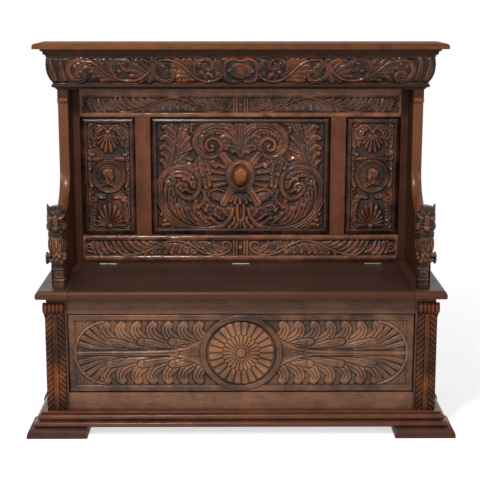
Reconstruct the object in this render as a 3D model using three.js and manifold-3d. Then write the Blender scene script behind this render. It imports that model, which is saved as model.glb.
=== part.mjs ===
// A carved oak box settle: a framed chest whose hinged lid is the seat, a back of three
// panels, two shaped wings that end in carved arm figures, and a boxed cornice on top.
// Millimetres, +Z up, the front towards -Y, the origin on the floor under the middle.
// Left and right are as seen from the front: right is +X.

import * as THREE from 'three';
import * as BufferGeometryUtils from 'three/addons/utils/BufferGeometryUtils.js';
import Module from 'manifold-3d';

const wasm = await Module();
wasm.setup();

// Whole piece, and the clearances that every joint uses
const fit = 0.3;
const lidGap = 1.5;
const overrun = 5;

// Feet and base moulding
const footHeight = 30;
const footLength = 198;
const footSideOverhang = 66;
const footFrontOverhang = 75;
const footDepth = 150;
const footSole = 7;
const footFlare = 17;
const baseHeight = 48;
const baseProjection = 46;
const basePacking = 9;
const lowRollHeight = 19;
const upperRollHeight = 20;
const upperRollSetback = 12;
const baseBeadHeight = 5;
const baseBeadSetback = 22;
const baseQuirk = 2;

// Chest frame, panels and floor
const chestWidth = 1268;
const chestDepth = 437;
const postHeight = 428;
const postWidth = 66;
const postDepth = 45;
const railThickness = 30;
const frontTopRailHeight = 57;
const sideTopRailHeight = 70;
const bottomRailHeight = 103;
const tenonLength = 26;
const tenonThickness = 10;
const tenonShoulder = 12;
const panelThickness = 14;
const panelSetback = 6;
const grooveDepth = 9;
const panelFieldLift = 4;
const panelFieldMargin = 3;
const panelBorderWidth = 20;
const panelCarvingDepth = 8;
const sideFieldMargin = 45;
const floorThickness = 14;
const floorRise = 62;
const chestBackThickness = 16;
const chestBackSetback = 4;

// Carving: how high its main forms stand, and how far they are rooted in the board
const carvingRise = 7;
const carvingRoot = 2;
const carvingTopShare = 0.45;
const carvingSteps = 2;

// Roundel carved on the front panel, a little wider than it is high
const roundelRadius = 135;
const roundelHeightShare = 0.945;
const roundelRimWidth = 20;
const roundelRimRise = 2;
const roundelDiscDrop = 3;
const roundelPetals = 24;
const roundelRingRadius = 66;
const roundelSlotWidth = 3;
const roundelSlotDepth = 4;
const roundelBossRadius = 27;
const roundelBossRise = 4;

// Leaves of the front panel: half widths, and lines as shares of the carved field's half sizes
const frontLeafCount = 7;
const frontLeafHalfWidths = [11, 11, 9, 6, 3];
const frontLeafStartShare = -0.805;
const frontLeafStepShare = 0.0935;
const frontLeafShares = [[0, 0.93], [-0.004, 0.74], [0.026, 0.53], [0.085, 0.4], [0.19, 0.31]];
const innerLeafCount = 3;
const innerLeafHalfWidths = [11, 9, 6, 3];
const innerLeafStartShare = -0.8;
const innerLeafStepShare = 0.186;
const innerLeafShares = [[0, 0.36], [0.05, 0.31], [0.11, 0.25], [0.21, 0.21]];
const frontFanHalfWidths = [3, 5, 6];
const frontFanRootShares = [-0.7, 0.11];
const frontFanBendShare = 0.56;
const frontFanTipShares = [[-0.97, 0.17], [-0.955, 0.38], [-0.93, 0.59], [-0.885, 0.77], [-0.845, 0.9]];
const frontRibHalfWidths = [4, 6, 7];
const frontRibShares = [[-0.99, -0.03], [-0.7, -0.03], [-0.24, -0.03]];
const frontTulipHalfWidths = [4, 4];
const frontTulipShares = [[-0.38, 0.06], [-0.3, 0.15], [-0.23, 0.32]];
const frontArcHalfWidth = 4;
const frontArcRadiusShare = 0.96;

// Consoles planted on the front posts
const consoleWidth = 70;
const consoleDepth = 18;
const consoleInset = 6;
const consoleNeckHeight = 18;
const consoleTaper = 6;
const consoleRollHeight = 34;
const consoleHollow = 6;
const consoleNeckDepth = 8;
const consoleNeckInset = 8;

// Seat
const seatThickness = 27;
const seatOverhangSide = 30;
const seatOverhangFront = 39;
const nosingDepth = 12;
const nosingUndercut = 5;
const nosingRise = 9;
const seatEndReveal = 25.5;
const seatBackRailDepth = 81;

// Butt hinges of the lid
const hingeWidth = 58;
const hingeInset = 90;
const hingeKnuckles = 5;
const knuckleRadius = 4;
const hingePinRadius = 1.6;
const hingePinRise = 1.2;
const hingeHeadRadius = 2.8;
const hingeHeadLength = 1.2;
const hingeLeafHeight = 21;
const hingeLeafThickness = 2;
const hingeLeafGap = 0.4;

// Panelled back
const backThickness = 32;
const stileWidth = 59;
const backInset = 14;
const backBottomRailHeight = 94;
const backOpeningHeight = 421;
const backTopRailHeight = 242;
const muntinWidth = 53;
const centreOpeningWidth = 632;
const backPanelThickness = 10;
const backPanelSetback = 12;
const backFieldLift = 5;
const backFieldMargin = 3;
const backFieldBevel = 10;
const backBorderWidth = 9;
const backCarvingDepth = 9;
const backGrooveDepth = 8;

// Main forms of the middle panel's carving, as half widths and as lines in shares of the
// field's half sizes: two scrolls, plumes, buds, a husk, an arch, rays and crossed straps
const middleForms = [
  { halfWidths: [6, 8, 8, 7, 7, 6],
    shares: [[-0.07, -0.7], [-0.13, -0.87], [-0.33, -0.98], [-0.52, -0.98], [-0.7, -0.9], [-0.84, -0.7],
      [-0.93, -0.46], [-0.955, -0.2], [-0.91, 0.01], [-0.8, 0.14], [-0.66, 0.17], [-0.54, 0.08],
      [-0.48, -0.08], [-0.49, -0.26], [-0.55, -0.38], [-0.64, -0.4], [-0.72, -0.31], [-0.72, -0.15]] },
  { halfWidths: [5, 7, 7, 6, 6],
    shares: [[-0.05, 0.93], [-0.12, 0.98], [-0.25, 0.99], [-0.39, 0.96], [-0.48, 0.86], [-0.53, 0.72],
      [-0.52, 0.54], [-0.46, 0.41], [-0.36, 0.37], [-0.27, 0.43], [-0.23, 0.56], [-0.27, 0.68]] },
  { halfWidths: [5, 11, 13, 12, 7],
    shares: [[-0.93, 0.07], [-0.92, 0.32], [-0.91, 0.55], [-0.9, 0.77], [-0.9, 0.94]] },
  { halfWidths: [5, 18, 22, 18, 9],
    shares: [[-0.8, 0.19], [-0.7, 0.35], [-0.67, 0.55], [-0.68, 0.74], [-0.72, 0.92]] },
  { halfWidths: [4, 9, 12, 13, 7],
    shares: [[-0.48, -0.9], [-0.67, -0.78], [-0.79, -0.56], [-0.82, -0.33], [-0.79, -0.1]] },
  { halfWidths: [4, 7, 10, 9], shares: [[-0.44, -0.88], [-0.58, -0.81], [-0.68, -0.69], [-0.7, -0.53]] },
  { halfWidths: [4, 7, 10, 10], shares: [[-0.34, -0.89], [-0.48, -0.82], [-0.56, -0.71], [-0.58, -0.57]] },
  { halfWidths: [4, 6, 8, 8], shares: [[-0.22, -0.86], [-0.31, -0.83], [-0.39, -0.76], [-0.4, -0.67]] },
  { halfWidths: [4, 7, 7], shares: [[-0.13, -0.77], [-0.2, -0.75], [-0.27, -0.68], [-0.26, -0.6]] },
  { halfWidths: [9, 12, 10, 4], shares: [[-0.5, 0.38], [-0.46, 0.24], [-0.42, 0.1], [-0.36, -0.13]] },
  { halfWidths: [4, 8, 8], shares: [[-0.46, -0.3], [-0.46, -0.45], [-0.5, -0.57]] },
  { halfWidths: [4, 4],
    shares: [[-0.37, -0.36], [-0.36, -0.26], [-0.28, -0.23], [-0.2, -0.27], [-0.16, -0.34]] },
  { halfWidths: [3, 7, 8], shares: [[-0.02, 0.43], [-0.08, 0.52], [-0.16, 0.55]] },
  { halfWidths: [3, 7, 9], shares: [[-0.02, 0.46], [-0.09, 0.62], [-0.19, 0.68]] },
  { halfWidths: [3, 7, 7], shares: [[-0.02, 0.48], [-0.05, 0.7], [-0.11, 0.91]] },
  { halfWidths: [4, 8, 6], shares: [[-0.07, -0.7], [-0.08, -0.85], [-0.14, -0.97]] },
  { halfWidths: [6, 6], shares: [[-0.03, -0.5], [-0.04, -0.7], [-0.03, -0.88]] },
  { halfWidths: [16, 16], shares: [[-0.06, 0.15], [-0.2, 0.42]] },
  { halfWidths: [16, 16], shares: [[-0.06, -0.15], [-0.19, -0.47]] },
];
const middleRayHalfWidths = [4, 6, 7];
const middleRayShares = [[0, 0.38], [0, 0.69], [0, 0.98]];

// Oval boss of the middle panel, and the ring and plain head of each side medallion
const bossHalfWidth = 24;
const bossHalfHeight = 32;
const bossRise = 21;
const bossRimWidth = 9;
const bossRimThickness = 7;
const bossPadWidth = 8;
const medallionRadius = 57;
const medallionRimWidth = 10;
const medallionRimRise = 1;
const medallionHeadRadii = [19, 9, 25];
const medallionHeadRise = 5;
const medallionCollarRadii = [33, 6, 13];
const medallionCollarDrop = 31;

// Wings and the arm figures in front of them
const wingThickness = 35;
const wingDepth = 113;
const wingEdgeThickness = 8;
const wingSweepHeight = 135;
const armHeight = 210;
const armFlat = 33;
const figureSetback = 36;
const wingEdgeDrop = 46;
const figureHeight = 285;
const figurePostWidth = 36;
const figurePostDepth = 49;
const figurePostHeight = 80;
const figureBackDepth = 25;
const figureScrollRadius = 19;
const figureScrollWidth = 76;
const figureManeRadii = [29, 30, 50];
const figureHeadRadii = [32, 38, 55];
const figureHeadInset = 33;
const figureMuzzleRadii = [18, 20, 19];
const figureMuzzleReach = 22;
const figureEarRadii = [8, 9, 22];
const figureEarSpacing = 23;
const figureEarRise = 6;
const figureEarLean = 0.25;

// Cornice box: bead, swelling frieze, bed mould and top board
const beadHeight = 18;
const beadOut = 16.5;
const beadCoveHeight = 7;
const beadNeckOut = 6;
const friezeHeight = 91;
const friezeFootOut = 14;
const friezeOut = 36;
const friezeCrownOut = 31;
const bedHeight = 27;
const bedOut = 47;
const bedFillet = 6;
const topThickness = 18;
const topOverhangSide = 70;
const topOverhangFront = 67;
const topOvolo = 10;
const soffitThickness = 12;

// Round stretches: how many steps a curve, a turned part and a ball take
const curveSteps = 4;
const turnSteps = 48;
const pinSteps = 20;
const ballSteps = 18;
const sweepSteps = 14;

// Heights and faces worked out from the sizes above
const rear = (chestDepth + footFrontOverhang) / 2;
const chestFront = rear - chestDepth;
const chestHalfWidth = chestWidth / 2;
const chestTop = footHeight + postHeight;
const seatTop = chestTop + seatThickness;
const postInner = chestHalfWidth - postWidth;
const baseTop = footHeight + baseHeight;
const consoleHeight = chestTop - baseTop - consoleNeckHeight;
const bottomRailTop = footHeight + bottomRailHeight;
const backFront = rear - backThickness;
const backHalfWidth = chestHalfWidth - backInset;
const stileInner = backHalfWidth - stileWidth;
const backOpeningBottom = seatTop + backBottomRailHeight;
const backOpeningTop = backOpeningBottom + backOpeningHeight;
const backTop = backOpeningTop + backTopRailHeight;
const bedBottom = backTop - bedHeight;
const friezeBottom = bedBottom - friezeHeight;
const beadBottom = friezeBottom - beadHeight;
const lidRear = rear - seatBackRailDepth;
const wingInner = backHalfWidth - wingThickness;
const seatEndInner = wingInner - seatEndReveal;
const lidHalfWidth = seatEndInner - lidGap;
const wingFront = backFront - wingDepth;
const armTop = seatTop + armHeight;
const seatFront = chestFront - seatOverhangFront;
const figureFront = seatFront + figureSetback;
const figureRear = figureFront + figurePostDepth;
const armFront = figureRear + fit;

// Finishes
const oak = new THREE.MeshStandardMaterial({ color: 0x5a3016, roughness: 0.42, metalness: 0 });
const carvedOak = new THREE.MeshStandardMaterial({ color: 0x6b3a1a, roughness: 0.45, metalness: 0 });
const hiddenOak = new THREE.MeshStandardMaterial({ color: 0x7a5a3a, roughness: 0.7, metalness: 0 });
const brightSteel = new THREE.MeshStandardMaterial({ color: 0xc8c8c4, roughness: 0.3, metalness: 1 });

// Helpers that turn shapes into solids and back

// The index without the triangles that a pole or a closed seam has flattened
function usableTriangles(index) {
  const kept = [];
  for (let i = 0; i < index.length; i += 3) {
    const [a, b, c] = [index[i], index[i + 1], index[i + 2]];
    if (a !== b && b !== c && c !== a) kept.push(a, b, c);
  }
  return kept;
}

// A closed geometry as a solid that can be joined and cut
function solid(geometry) {
  const bare = new THREE.BufferGeometry();
  bare.setAttribute('position', geometry.getAttribute('position').clone());
  bare.setIndex(geometry.getIndex());
  const merged = BufferGeometryUtils.mergeVertices(bare);
  return new wasm.Manifold(new wasm.Mesh({
    numProp: 3,
    vertProperties: new Float32Array(merged.getAttribute('position').array),
    triVerts: new Uint32Array(usableTriangles(merged.getIndex().array)),
  }));
}

// A solid as a geometry
function geometryOf(manifold) {
  const { vertProperties, triVerts } = manifold.getMesh();
  const geometry = new THREE.BufferGeometry();
  geometry.setAttribute('position', new THREE.BufferAttribute(vertProperties, 3));
  geometry.setIndex(new THREE.BufferAttribute(triVerts, 1));
  geometry.computeVertexNormals();
  return geometry;
}

// The same geometry on the other side of the middle plane
function mirrored(geometry) {
  const copy = geometry.clone();
  copy.scale(-1, 1, 1);
  copy.getIndex().array.reverse();
  copy.computeVertexNormals();
  return copy;
}

const settle = new THREE.Group();

function addPiece(name, manifold, material, parent = settle) {
  const geometry = geometryOf(manifold);
  geometry.translate(-parent.position.x, -parent.position.y, -parent.position.z);
  const mesh = new THREE.Mesh(geometry, material);
  mesh.name = name;
  parent.add(mesh);
}

// A piece modelled on the right, and its mirror image on the left
function addPair(name, manifold, material) {
  const right = new THREE.Mesh(geometryOf(manifold), material);
  right.name = `${name}_right`;
  const left = new THREE.Mesh(mirrored(right.geometry), material);
  left.name = `${name}_left`;
  settle.add(right, left);
}

const spread = ([low, high], by) => [low - by, high + by];
const bothWays = (half) => [-half, half];

// A plain block between ranges along X, Y and Z
function block(x, y, z) {
  const geometry = new THREE.BoxGeometry(x[1] - x[0], y[1] - y[0], z[1] - z[0]);
  geometry.translate((x[0] + x[1]) / 2, (y[0] + y[1]) / 2, (z[0] + z[1]) / 2);
  return solid(geometry);
}

// A round bar along X, Y or Z
function bar(axis, radius, range, centre, steps = pinSteps) {
  const geometry = new THREE.CylinderGeometry(radius, radius, range[1] - range[0], steps);
  const middle = (range[0] + range[1]) / 2;
  if (axis === 'x') geometry.rotateZ(Math.PI / 2).translate(middle, centre[0], centre[1]);
  if (axis === 'y') geometry.translate(centre[0], middle, centre[1]);
  if (axis === 'z') geometry.rotateX(Math.PI / 2).translate(centre[0], centre[1], middle);
  return solid(geometry);
}

// An egg shape with its own half size along each axis
function ball(centre, radii, lean = 0) {
  const geometry = new THREE.SphereGeometry(1, ballSteps, ballSteps / 2);
  geometry.rotateX(Math.PI / 2).scale(...radii).rotateY(lean).translate(...centre);
  return solid(geometry);
}

function signedArea(a, b, c) {
  return ((b.x - a.x) * (c.y - a.y) - (c.x - a.x) * (b.y - a.y)) / 2;
}

// A solid whose outline is carried through a row of places, each a function that
// puts a point of the outline into space
function sweep(outline, places) {
  const points = THREE.ShapeUtils.isClockWise(outline) ? [...outline].reverse() : outline;
  const count = points.length;
  const positions = places.flatMap((place) => points.map((point) => place(point)));
  const cap = THREE.ShapeUtils.triangulateShape(points, []).map(([a, b, c]) => (
    signedArea(points[a], points[b], points[c]) > 0 ? [a, b, c] : [a, c, b]));
  const last = (places.length - 1) * count;
  let triangles = cap.map(([a, b, c]) => [a, c, b]);
  triangles.push(...cap.map((corner) => corner.map((i) => i + last)));
  for (let start = 0; start < last; start += count) {
    for (let i = 0; i < count; i += 1) {
      const next = (i + 1) % count;
      triangles.push([start + i, start + next, start + count + next]);
      triangles.push([start + i, start + count + next, start + count + i]);
    }
  }
  const volume = triangles.reduce((sum, [a, b, c]) => (
    sum + positions[a].dot(positions[b].clone().cross(positions[c]))), 0);
  if (volume < 0) triangles = triangles.map(([a, b, c]) => [a, c, b]);
  const geometry = new THREE.BufferGeometry().setFromPoints(positions);
  geometry.setIndex(triangles.flat());
  return solid(geometry);
}

// A board that stands on a height and whose moulded edges follow (inset, rise) points
function mouldedBoard(x, y, bottom, profile, moulded) {
  const corners = [[0, 0], [1, 0], [1, 1], [0, 1]].map(([u, v]) => new THREE.Vector2(u, v));
  const places = profile.map(([inset, rise]) => ({ x: u, y: v }) => new THREE.Vector3(
    THREE.MathUtils.lerp(x[0] + (moulded.left ? inset : 0), x[1] - (moulded.right ? inset : 0), u),
    THREE.MathUtils.lerp(y[0] + (moulded.front ? inset : 0), y[1] - (moulded.rear ? inset : 0), v),
    bottom + rise,
  ));
  return sweep(corners, places);
}

// A length of moulding. Its profile is drawn as (out from the wall, up), and each end
// has a corner of the wall in plan and the way in which the profile leans out there
function moulding(profile, bottom, ends) {
  return sweep(profile.getPoints(curveSteps), ends.map(([x, y, outX, outY]) => (
    (point) => new THREE.Vector3(x + outX * point.x, y + outY * point.x, bottom + point.y))));
}

// The straight lengths of a moulding that runs round the front and the right side,
// with a mitre between them
function mitredRuns(profile, bottom, wallHalfWidth, wallFront) {
  const corner = wallHalfWidth - fit / 2;
  return {
    front: moulding(profile, bottom, [[-corner, wallFront, -1, -1], [corner, wallFront, 1, -1]]),
    side: moulding(profile, bottom, [
      [wallHalfWidth, wallFront + fit / 2, 1, -1], [wallHalfWidth, rear, 1, 0]]),
  };
}

// A list of values, read at a share of its length
function readAlong(values, share) {
  const place = share * (values.length - 1);
  const before = Math.min(Math.floor(place), values.length - 2);
  return THREE.MathUtils.lerp(values[before], values[before + 1], place - before);
}

// A carved form along a smooth line on a field: flat on top, with sloped sides
function carvedForm(field, shares, halfWidths) {
  const line = new THREE.SplineCurve(shares.map(([u, v]) => (
    new THREE.Vector2(u * field.half[0], v * field.half[1]))));
  const steps = carvingSteps * (shares.length - 1);
  const section = [[-1, 0], [-carvingTopShare, 1], [carvingTopShare, 1], [1, 0]]
    .map(([across, up]) => new THREE.Vector2(across, up));
  const places = [];
  for (let step = 0; step <= steps; step += 1) {
    const at = line.getPoint(step / steps);
    const along = line.getTangent(step / steps);
    const half = readAlong(halfWidths, step / steps);
    places.push((point) => new THREE.Vector3(
      at.x - along.y * half * point.x,
      field.ground + carvingRoot - (carvingRise + carvingRoot) * point.y,
      field.z + at.y + along.x * half * point.x,
    ));
  }
  return sweep(section, places);
}

// Carved forms of the left half, and their mirror images
function onBothHalves(forms) {
  const joined = forms.reduce((all, form) => all.add(form));
  return joined.add(solid(mirrored(geometryOf(joined))));
}

// Feet: four low blocks that spread at the floor under an ovolo

const footProfile = [[0, 0]];
for (let step = 0; step <= 2 * curveSteps; step += 1) {
  const turn = (step / (2 * curveSteps)) * (Math.PI / 2);
  const rise = footSole + (footHeight - footSole) * Math.sin(turn);
  footProfile.push([footFlare * (1 - Math.cos(turn)), rise]);
}
const footOuter = chestHalfWidth + footSideOverhang;
const footX = [footOuter - footLength, footOuter];
const footFront = chestFront - footFrontOverhang;
const allRound = { left: true, right: true, front: true, rear: true };
addPair('foot_front', mouldedBoard(footX, [footFront, footFront + footDepth], 0, footProfile, allRound), oak);
addPair('foot_rear', mouldedBoard(
  footX, [rear - footDepth, rear], 0, footProfile, { ...allRound, rear: false }), oak);

// Base moulding: two rolls and a bead, mitred round the front and the sides

const upperRollBottom = lowRollHeight + baseQuirk;
const upperRollTop = upperRollBottom + upperRollHeight;
const upperRollOut = baseProjection - upperRollSetback;
const baseBeadOut = baseProjection - baseBeadSetback;
const quarter = Math.PI / 2;
const baseProfile = new THREE.Shape();
baseProfile.moveTo(0, 0);
baseProfile.absarc(baseProjection - lowRollHeight / 2, lowRollHeight / 2, lowRollHeight / 2,
  -quarter, quarter, false);
baseProfile.lineTo(upperRollOut - upperRollHeight / 2, lowRollHeight);
baseProfile.absarc(upperRollOut - upperRollHeight / 2, upperRollBottom + upperRollHeight / 2,
  upperRollHeight / 2, -quarter, quarter, false);
baseProfile.lineTo(baseBeadOut - baseBeadHeight, upperRollTop);
baseProfile.lineTo(baseBeadOut - baseBeadHeight, baseHeight - baseBeadHeight);
baseProfile.absarc(baseBeadOut - baseBeadHeight / 2, baseHeight - baseBeadHeight / 2,
  baseBeadHeight / 2, -quarter, quarter, false);
baseProfile.lineTo(0, baseHeight);

const baseWallFront = chestFront - basePacking;
const baseRuns = mitredRuns(baseProfile, footHeight, chestHalfWidth, baseWallFront);
const packing = block(
  bothWays(chestHalfWidth - fit), [baseWallFront - fit, chestFront], [footHeight, baseTop]);
addPiece('base_front', baseRuns.front.add(packing), oak);
addPair('base', baseRuns.side, oak);

// Chest frame: four posts, rails tenoned into them, and panels held in grooves

const frontPost = { x: [postInner, chestHalfWidth], y: [chestFront, chestFront + postDepth] };
const rearPost = { x: [postInner, chestHalfWidth], y: [rear - postDepth, rear] };
const postZ = [footHeight, chestTop];

const frontRailY = [chestFront, chestFront + railThickness];
const sideRailX = [chestHalfWidth - railThickness, chestHalfWidth];
const sideRailY = [frontPost.y[1], rearPost.y[0]];
const bottomRailZ = [footHeight, bottomRailTop];
const frontTopRailZ = [chestTop - frontTopRailHeight, chestTop];
const sideTopRailZ = [chestTop - sideTopRailHeight, chestTop];

// The range of a tenon, centred in the thickness of its rail
const tenonIn = ([low, high]) => [(low + high - tenonThickness) / 2, (low + high + tenonThickness) / 2];

// A rail along X with a tenon at each end, and the mortise that its post needs
function railAlongX(halfLength, y, z) {
  const tenon = [tenonIn(y), spread(z, -tenonShoulder)];
  return {
    rail: block(bothWays(halfLength), y, z).add(block(bothWays(halfLength + tenonLength), ...tenon)),
    mortise: block(bothWays(halfLength + tenonLength + fit), spread(tenon[0], fit), spread(tenon[1], fit)),
  };
}

function railAlongY(x, y, z) {
  const tenon = spread(z, -tenonShoulder);
  return {
    rail: block(x, y, z).add(block(tenonIn(x), spread(y, tenonLength), tenon)),
    mortise: block(spread(tenonIn(x), fit), spread(y, tenonLength + fit), spread(tenon, fit)),
  };
}

const frontTop = railAlongX(postInner, frontRailY, frontTopRailZ);
const frontBottom = railAlongX(postInner, frontRailY, bottomRailZ);
const sideTop = railAlongY(sideRailX, sideRailY, sideTopRailZ);
const sideBottom = railAlongY(sideRailX, sideRailY, bottomRailZ);

// Front panel: a raised border round a sunk field of leaves, and a roundel over both
const frontPanelY = [chestFront + panelSetback, chestFront + panelSetback + panelThickness];
const frontPanelZ = [bottomRailTop, frontTopRailZ[0]];
const panelReach = grooveDepth - fit;
const frontBorderFront = frontPanelY[0] - panelFieldLift;
const frontInset = panelFieldMargin + panelBorderWidth;
const frontField = {
  half: [postInner - frontInset, (frontPanelZ[1] - frontPanelZ[0]) / 2 - frontInset],
  ground: frontBorderFront + panelCarvingDepth,
  z: (frontPanelZ[0] + frontPanelZ[1]) / 2,
};

// A row of leaves that steps along the field and is repeated upside down below the rib
function leafRow(count, startShare, stepShare, shares, halfWidths) {
  const leaves = [];
  for (let index = 0; index < count; index += 1) {
    const start = startShare + index * stepShare;
    for (const side of [-1, 1]) {
      leaves.push(carvedForm(frontField, shares.map(([u, v]) => [start + u, side * v]), halfWidths));
    }
  }
  return leaves;
}

function frontLeaves() {
  const forms = [
    ...leafRow(frontLeafCount, frontLeafStartShare, frontLeafStepShare, frontLeafShares, frontLeafHalfWidths),
    ...leafRow(innerLeafCount, innerLeafStartShare, innerLeafStepShare, innerLeafShares, innerLeafHalfWidths),
    carvedForm(frontField, frontRibShares, frontRibHalfWidths),
  ];
  const radius = frontField.half[1] * frontArcRadiusShare;
  const arc = [];
  for (let step = 0; step <= 2 * curveSteps; step += 1) {
    const turn = (step / (2 * curveSteps)) * Math.PI;
    arc.push([(radius - frontField.half[0] - radius * Math.sin(turn)) / frontField.half[0],
      frontArcRadiusShare * Math.cos(turn)]);
  }
  forms.push(carvedForm(frontField, arc, [frontArcHalfWidth, frontArcHalfWidth]));
  for (const side of [-1, 1]) {
    const root = [frontFanRootShares[0], side * frontFanRootShares[1]];
    for (const [u, v] of frontFanTipShares) {
      const bend = [(root[0] + u) / 2, side * v * frontFanBendShare];
      forms.push(carvedForm(frontField, [root, bend, [u, side * v]], frontFanHalfWidths));
    }
    forms.push(carvedForm(frontField, frontTulipShares.map(([u, v]) => [u, side * v]), frontTulipHalfWidths));
  }
  return onBothHalves(forms);
}

// Two rings of petals, told apart by slots, in a flat rim and round a low boss
function roundel() {
  const rimY = frontBorderFront - roundelRimRise;
  const discY = rimY + roundelDiscDrop;
  const slotY = [discY - overrun, discY + roundelSlotDepth];
  const rimInner = roundelRadius - roundelRimWidth;
  let disc = bar('y', roundelRadius, [rimY, frontField.ground + carvingRoot], [0, 0], turnSteps)
    .subtract(bar('y', rimInner, [rimY - overrun, discY], [0, 0], turnSteps));
  const slotX = bothWays(roundelSlotWidth / 2);
  const slots = [
    block(slotX, slotY, [roundelRingRadius, rimInner - roundelSlotWidth]),
    block(slotX, slotY, [roundelBossRadius, roundelRingRadius]),
  ];
  for (let index = 0; index < 2 * roundelPetals; index += 1) {
    const turn = (index / (2 * roundelPetals)) * 2 * Math.PI;
    disc = disc.subtract(solid(geometryOf(slots[index % 2]).rotateY(turn)));
  }
  disc = disc.add(ball([0, discY, 0], [roundelBossRadius, roundelBossRise, roundelBossRadius]));
  return solid(geometryOf(disc).scale(1, 1, roundelHeightShare).translate(0, 0, frontField.z));
}

const frontBoard = [spread(bothWays(postInner), panelReach), frontPanelY, spread(frontPanelZ, panelReach)];
const frontPanel = block(...frontBoard)
  .add(block(
    bothWays(postInner - panelFieldMargin), [frontBorderFront, frontPanelY[0] + overrun],
    spread(frontPanelZ, -panelFieldMargin)))
  .subtract(block(
    bothWays(frontField.half[0]), [frontBorderFront - overrun, frontField.ground],
    spread([frontField.z, frontField.z], frontField.half[1])))
  .add(frontLeaves())
  .add(roundel());
const frontGroove = block(
  spread(bothWays(postInner), grooveDepth), spread(frontPanelY, fit), spread(frontPanelZ, grooveDepth));
addPiece('front_panel', frontPanel, carvedOak);

// Side panels: a plain raised field in the side frame
const sidePanelX = [chestHalfWidth - panelSetback - panelThickness, chestHalfWidth - panelSetback];
const sidePanelZ = [bottomRailTop, sideTopRailZ[0]];
const sideField = block(
  [sidePanelX[1] - overrun, sidePanelX[1] + panelFieldLift],
  spread(sideRailY, -sideFieldMargin), spread(sidePanelZ, -sideFieldMargin));
const sidePanel = block(sidePanelX, spread(sideRailY, panelReach), spread(sidePanelZ, panelReach));
const sideGroove = block(
  spread(sidePanelX, fit), spread(sideRailY, grooveDepth), spread(sidePanelZ, grooveDepth));
addPair('side_panel', sidePanel.add(sideField), oak);

// Back board of the chest, let into the rear posts
const chestBackY = [rear - chestBackSetback - chestBackThickness, rear - chestBackSetback];
const chestBack = block(spread(bothWays(postInner), panelReach), chestBackY, postZ);
const chestBackGroove = block(spread(bothWays(postInner), grooveDepth), spread(chestBackY, fit), postZ);
addPiece('chest_back', chestBack, hiddenOak);

// Floor of the chest: its edges lie in grooves of the bottom rails, notched round the posts
const floorZ = [footHeight + floorRise, footHeight + floorRise + floorThickness];
const floorX = bothWays(sideRailX[0] + panelReach);
const floorY = [frontRailY[1] - panelReach, chestBackY[0]];
const floorGroove = block(
  bothWays(sideRailX[0] + grooveDepth), [frontRailY[1] - grooveDepth, chestBackY[0]], spread(floorZ, fit));
let chestFloor = block(floorX, floorY, floorZ);
for (const side of [-1, 1]) {
  const postX = [side * (postInner - fit), side * (chestHalfWidth + overrun)].sort((a, b) => a - b);
  chestFloor = chestFloor
    .subtract(block(postX, [chestFront - overrun, frontPost.y[1] + fit], floorZ))
    .subtract(block(postX, [rearPost.y[0] - fit, rear + overrun], floorZ));
}
addPiece('chest_floor', chestFloor, hiddenOak);

const frontPostSolid = block(frontPost.x, frontPost.y, postZ)
  .subtract(frontTop.mortise).subtract(frontBottom.mortise).subtract(frontGroove)
  .subtract(sideTop.mortise).subtract(sideBottom.mortise).subtract(sideGroove);
const rearPostSolid = block(rearPost.x, rearPost.y, postZ)
  .subtract(sideTop.mortise).subtract(sideBottom.mortise).subtract(sideGroove)
  .subtract(chestBackGroove);
addPair('post_front', frontPostSolid, oak);
addPair('post_rear', rearPostSolid, oak);
addPiece('front_top_rail', frontTop.rail.subtract(frontGroove), oak);
addPiece('front_bottom_rail', frontBottom.rail.subtract(frontGroove).subtract(floorGroove), oak);
addPair('side_top_rail', sideTop.rail.subtract(sideGroove), oak);
addPair('side_bottom_rail', sideBottom.rail.subtract(sideGroove).subtract(floorGroove), oak);

// Consoles: an S-shaped side view with a roll at the top, wider there than at the foot

const consoleZ = [baseTop, baseTop + consoleHeight];
const consoleX = [postInner + consoleInset, postInner + consoleInset + consoleWidth];
const rollRadius = consoleRollHeight / 2;
const consoleSide = new THREE.Shape();
consoleSide.moveTo(0, 0);
consoleSide.lineTo(consoleDepth, 0);
consoleSide.bezierCurveTo(consoleDepth, consoleHeight / 3, consoleDepth - consoleHollow,
  consoleHeight / 2, consoleDepth - consoleHollow, consoleHeight - consoleRollHeight);
consoleSide.quadraticCurveTo(consoleDepth, consoleHeight - consoleRollHeight,
  consoleDepth, consoleHeight - rollRadius);
consoleSide.quadraticCurveTo(consoleDepth, consoleHeight, consoleDepth - rollRadius, consoleHeight);
consoleSide.lineTo(0, consoleHeight);
const consoleOuterAt = (rise) => consoleX[1] - (rise < consoleHeight - consoleRollHeight ? consoleTaper : 0);
const consoleBody = sweep(consoleSide.getPoints(curveSteps), [
  (point) => new THREE.Vector3(consoleX[0], chestFront - point.x, baseTop + point.y),
  (point) => new THREE.Vector3(consoleOuterAt(point.y), chestFront - point.x, baseTop + point.y),
]);
const consoleNeck = block(
  [consoleX[0] + consoleNeckInset, chestHalfWidth],
  [chestFront - consoleNeckDepth, chestFront],
  [consoleZ[1] - fit, chestTop]);
addPair('console', consoleBody.add(consoleNeck), carvedOak);

// Seat: two fixed ends and a fixed strip at the back frame the hinged lid

const nosing = [];
for (let step = 0; step <= curveSteps; step += 1) {
  const turn = (step / curveSteps) * quarter;
  nosing.push([nosingUndercut * (1 - Math.sin(turn)), nosingRise * (1 - Math.cos(turn))]);
}
for (let step = 1; step <= 2 * curveSteps; step += 1) {
  const turn = (step / (2 * curveSteps)) * quarter;
  const rise = nosingRise + (seatThickness - nosingRise) * Math.sin(turn);
  nosing.push([nosingDepth * (1 - Math.cos(turn)), rise]);
}
const seatOuter = chestHalfWidth + seatOverhangSide;
const seatEnd = mouldedBoard([seatEndInner, seatOuter], [seatFront, rear], chestTop, nosing,
  { right: true, front: true });
addPair('seat_end', seatEnd, oak);

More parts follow.
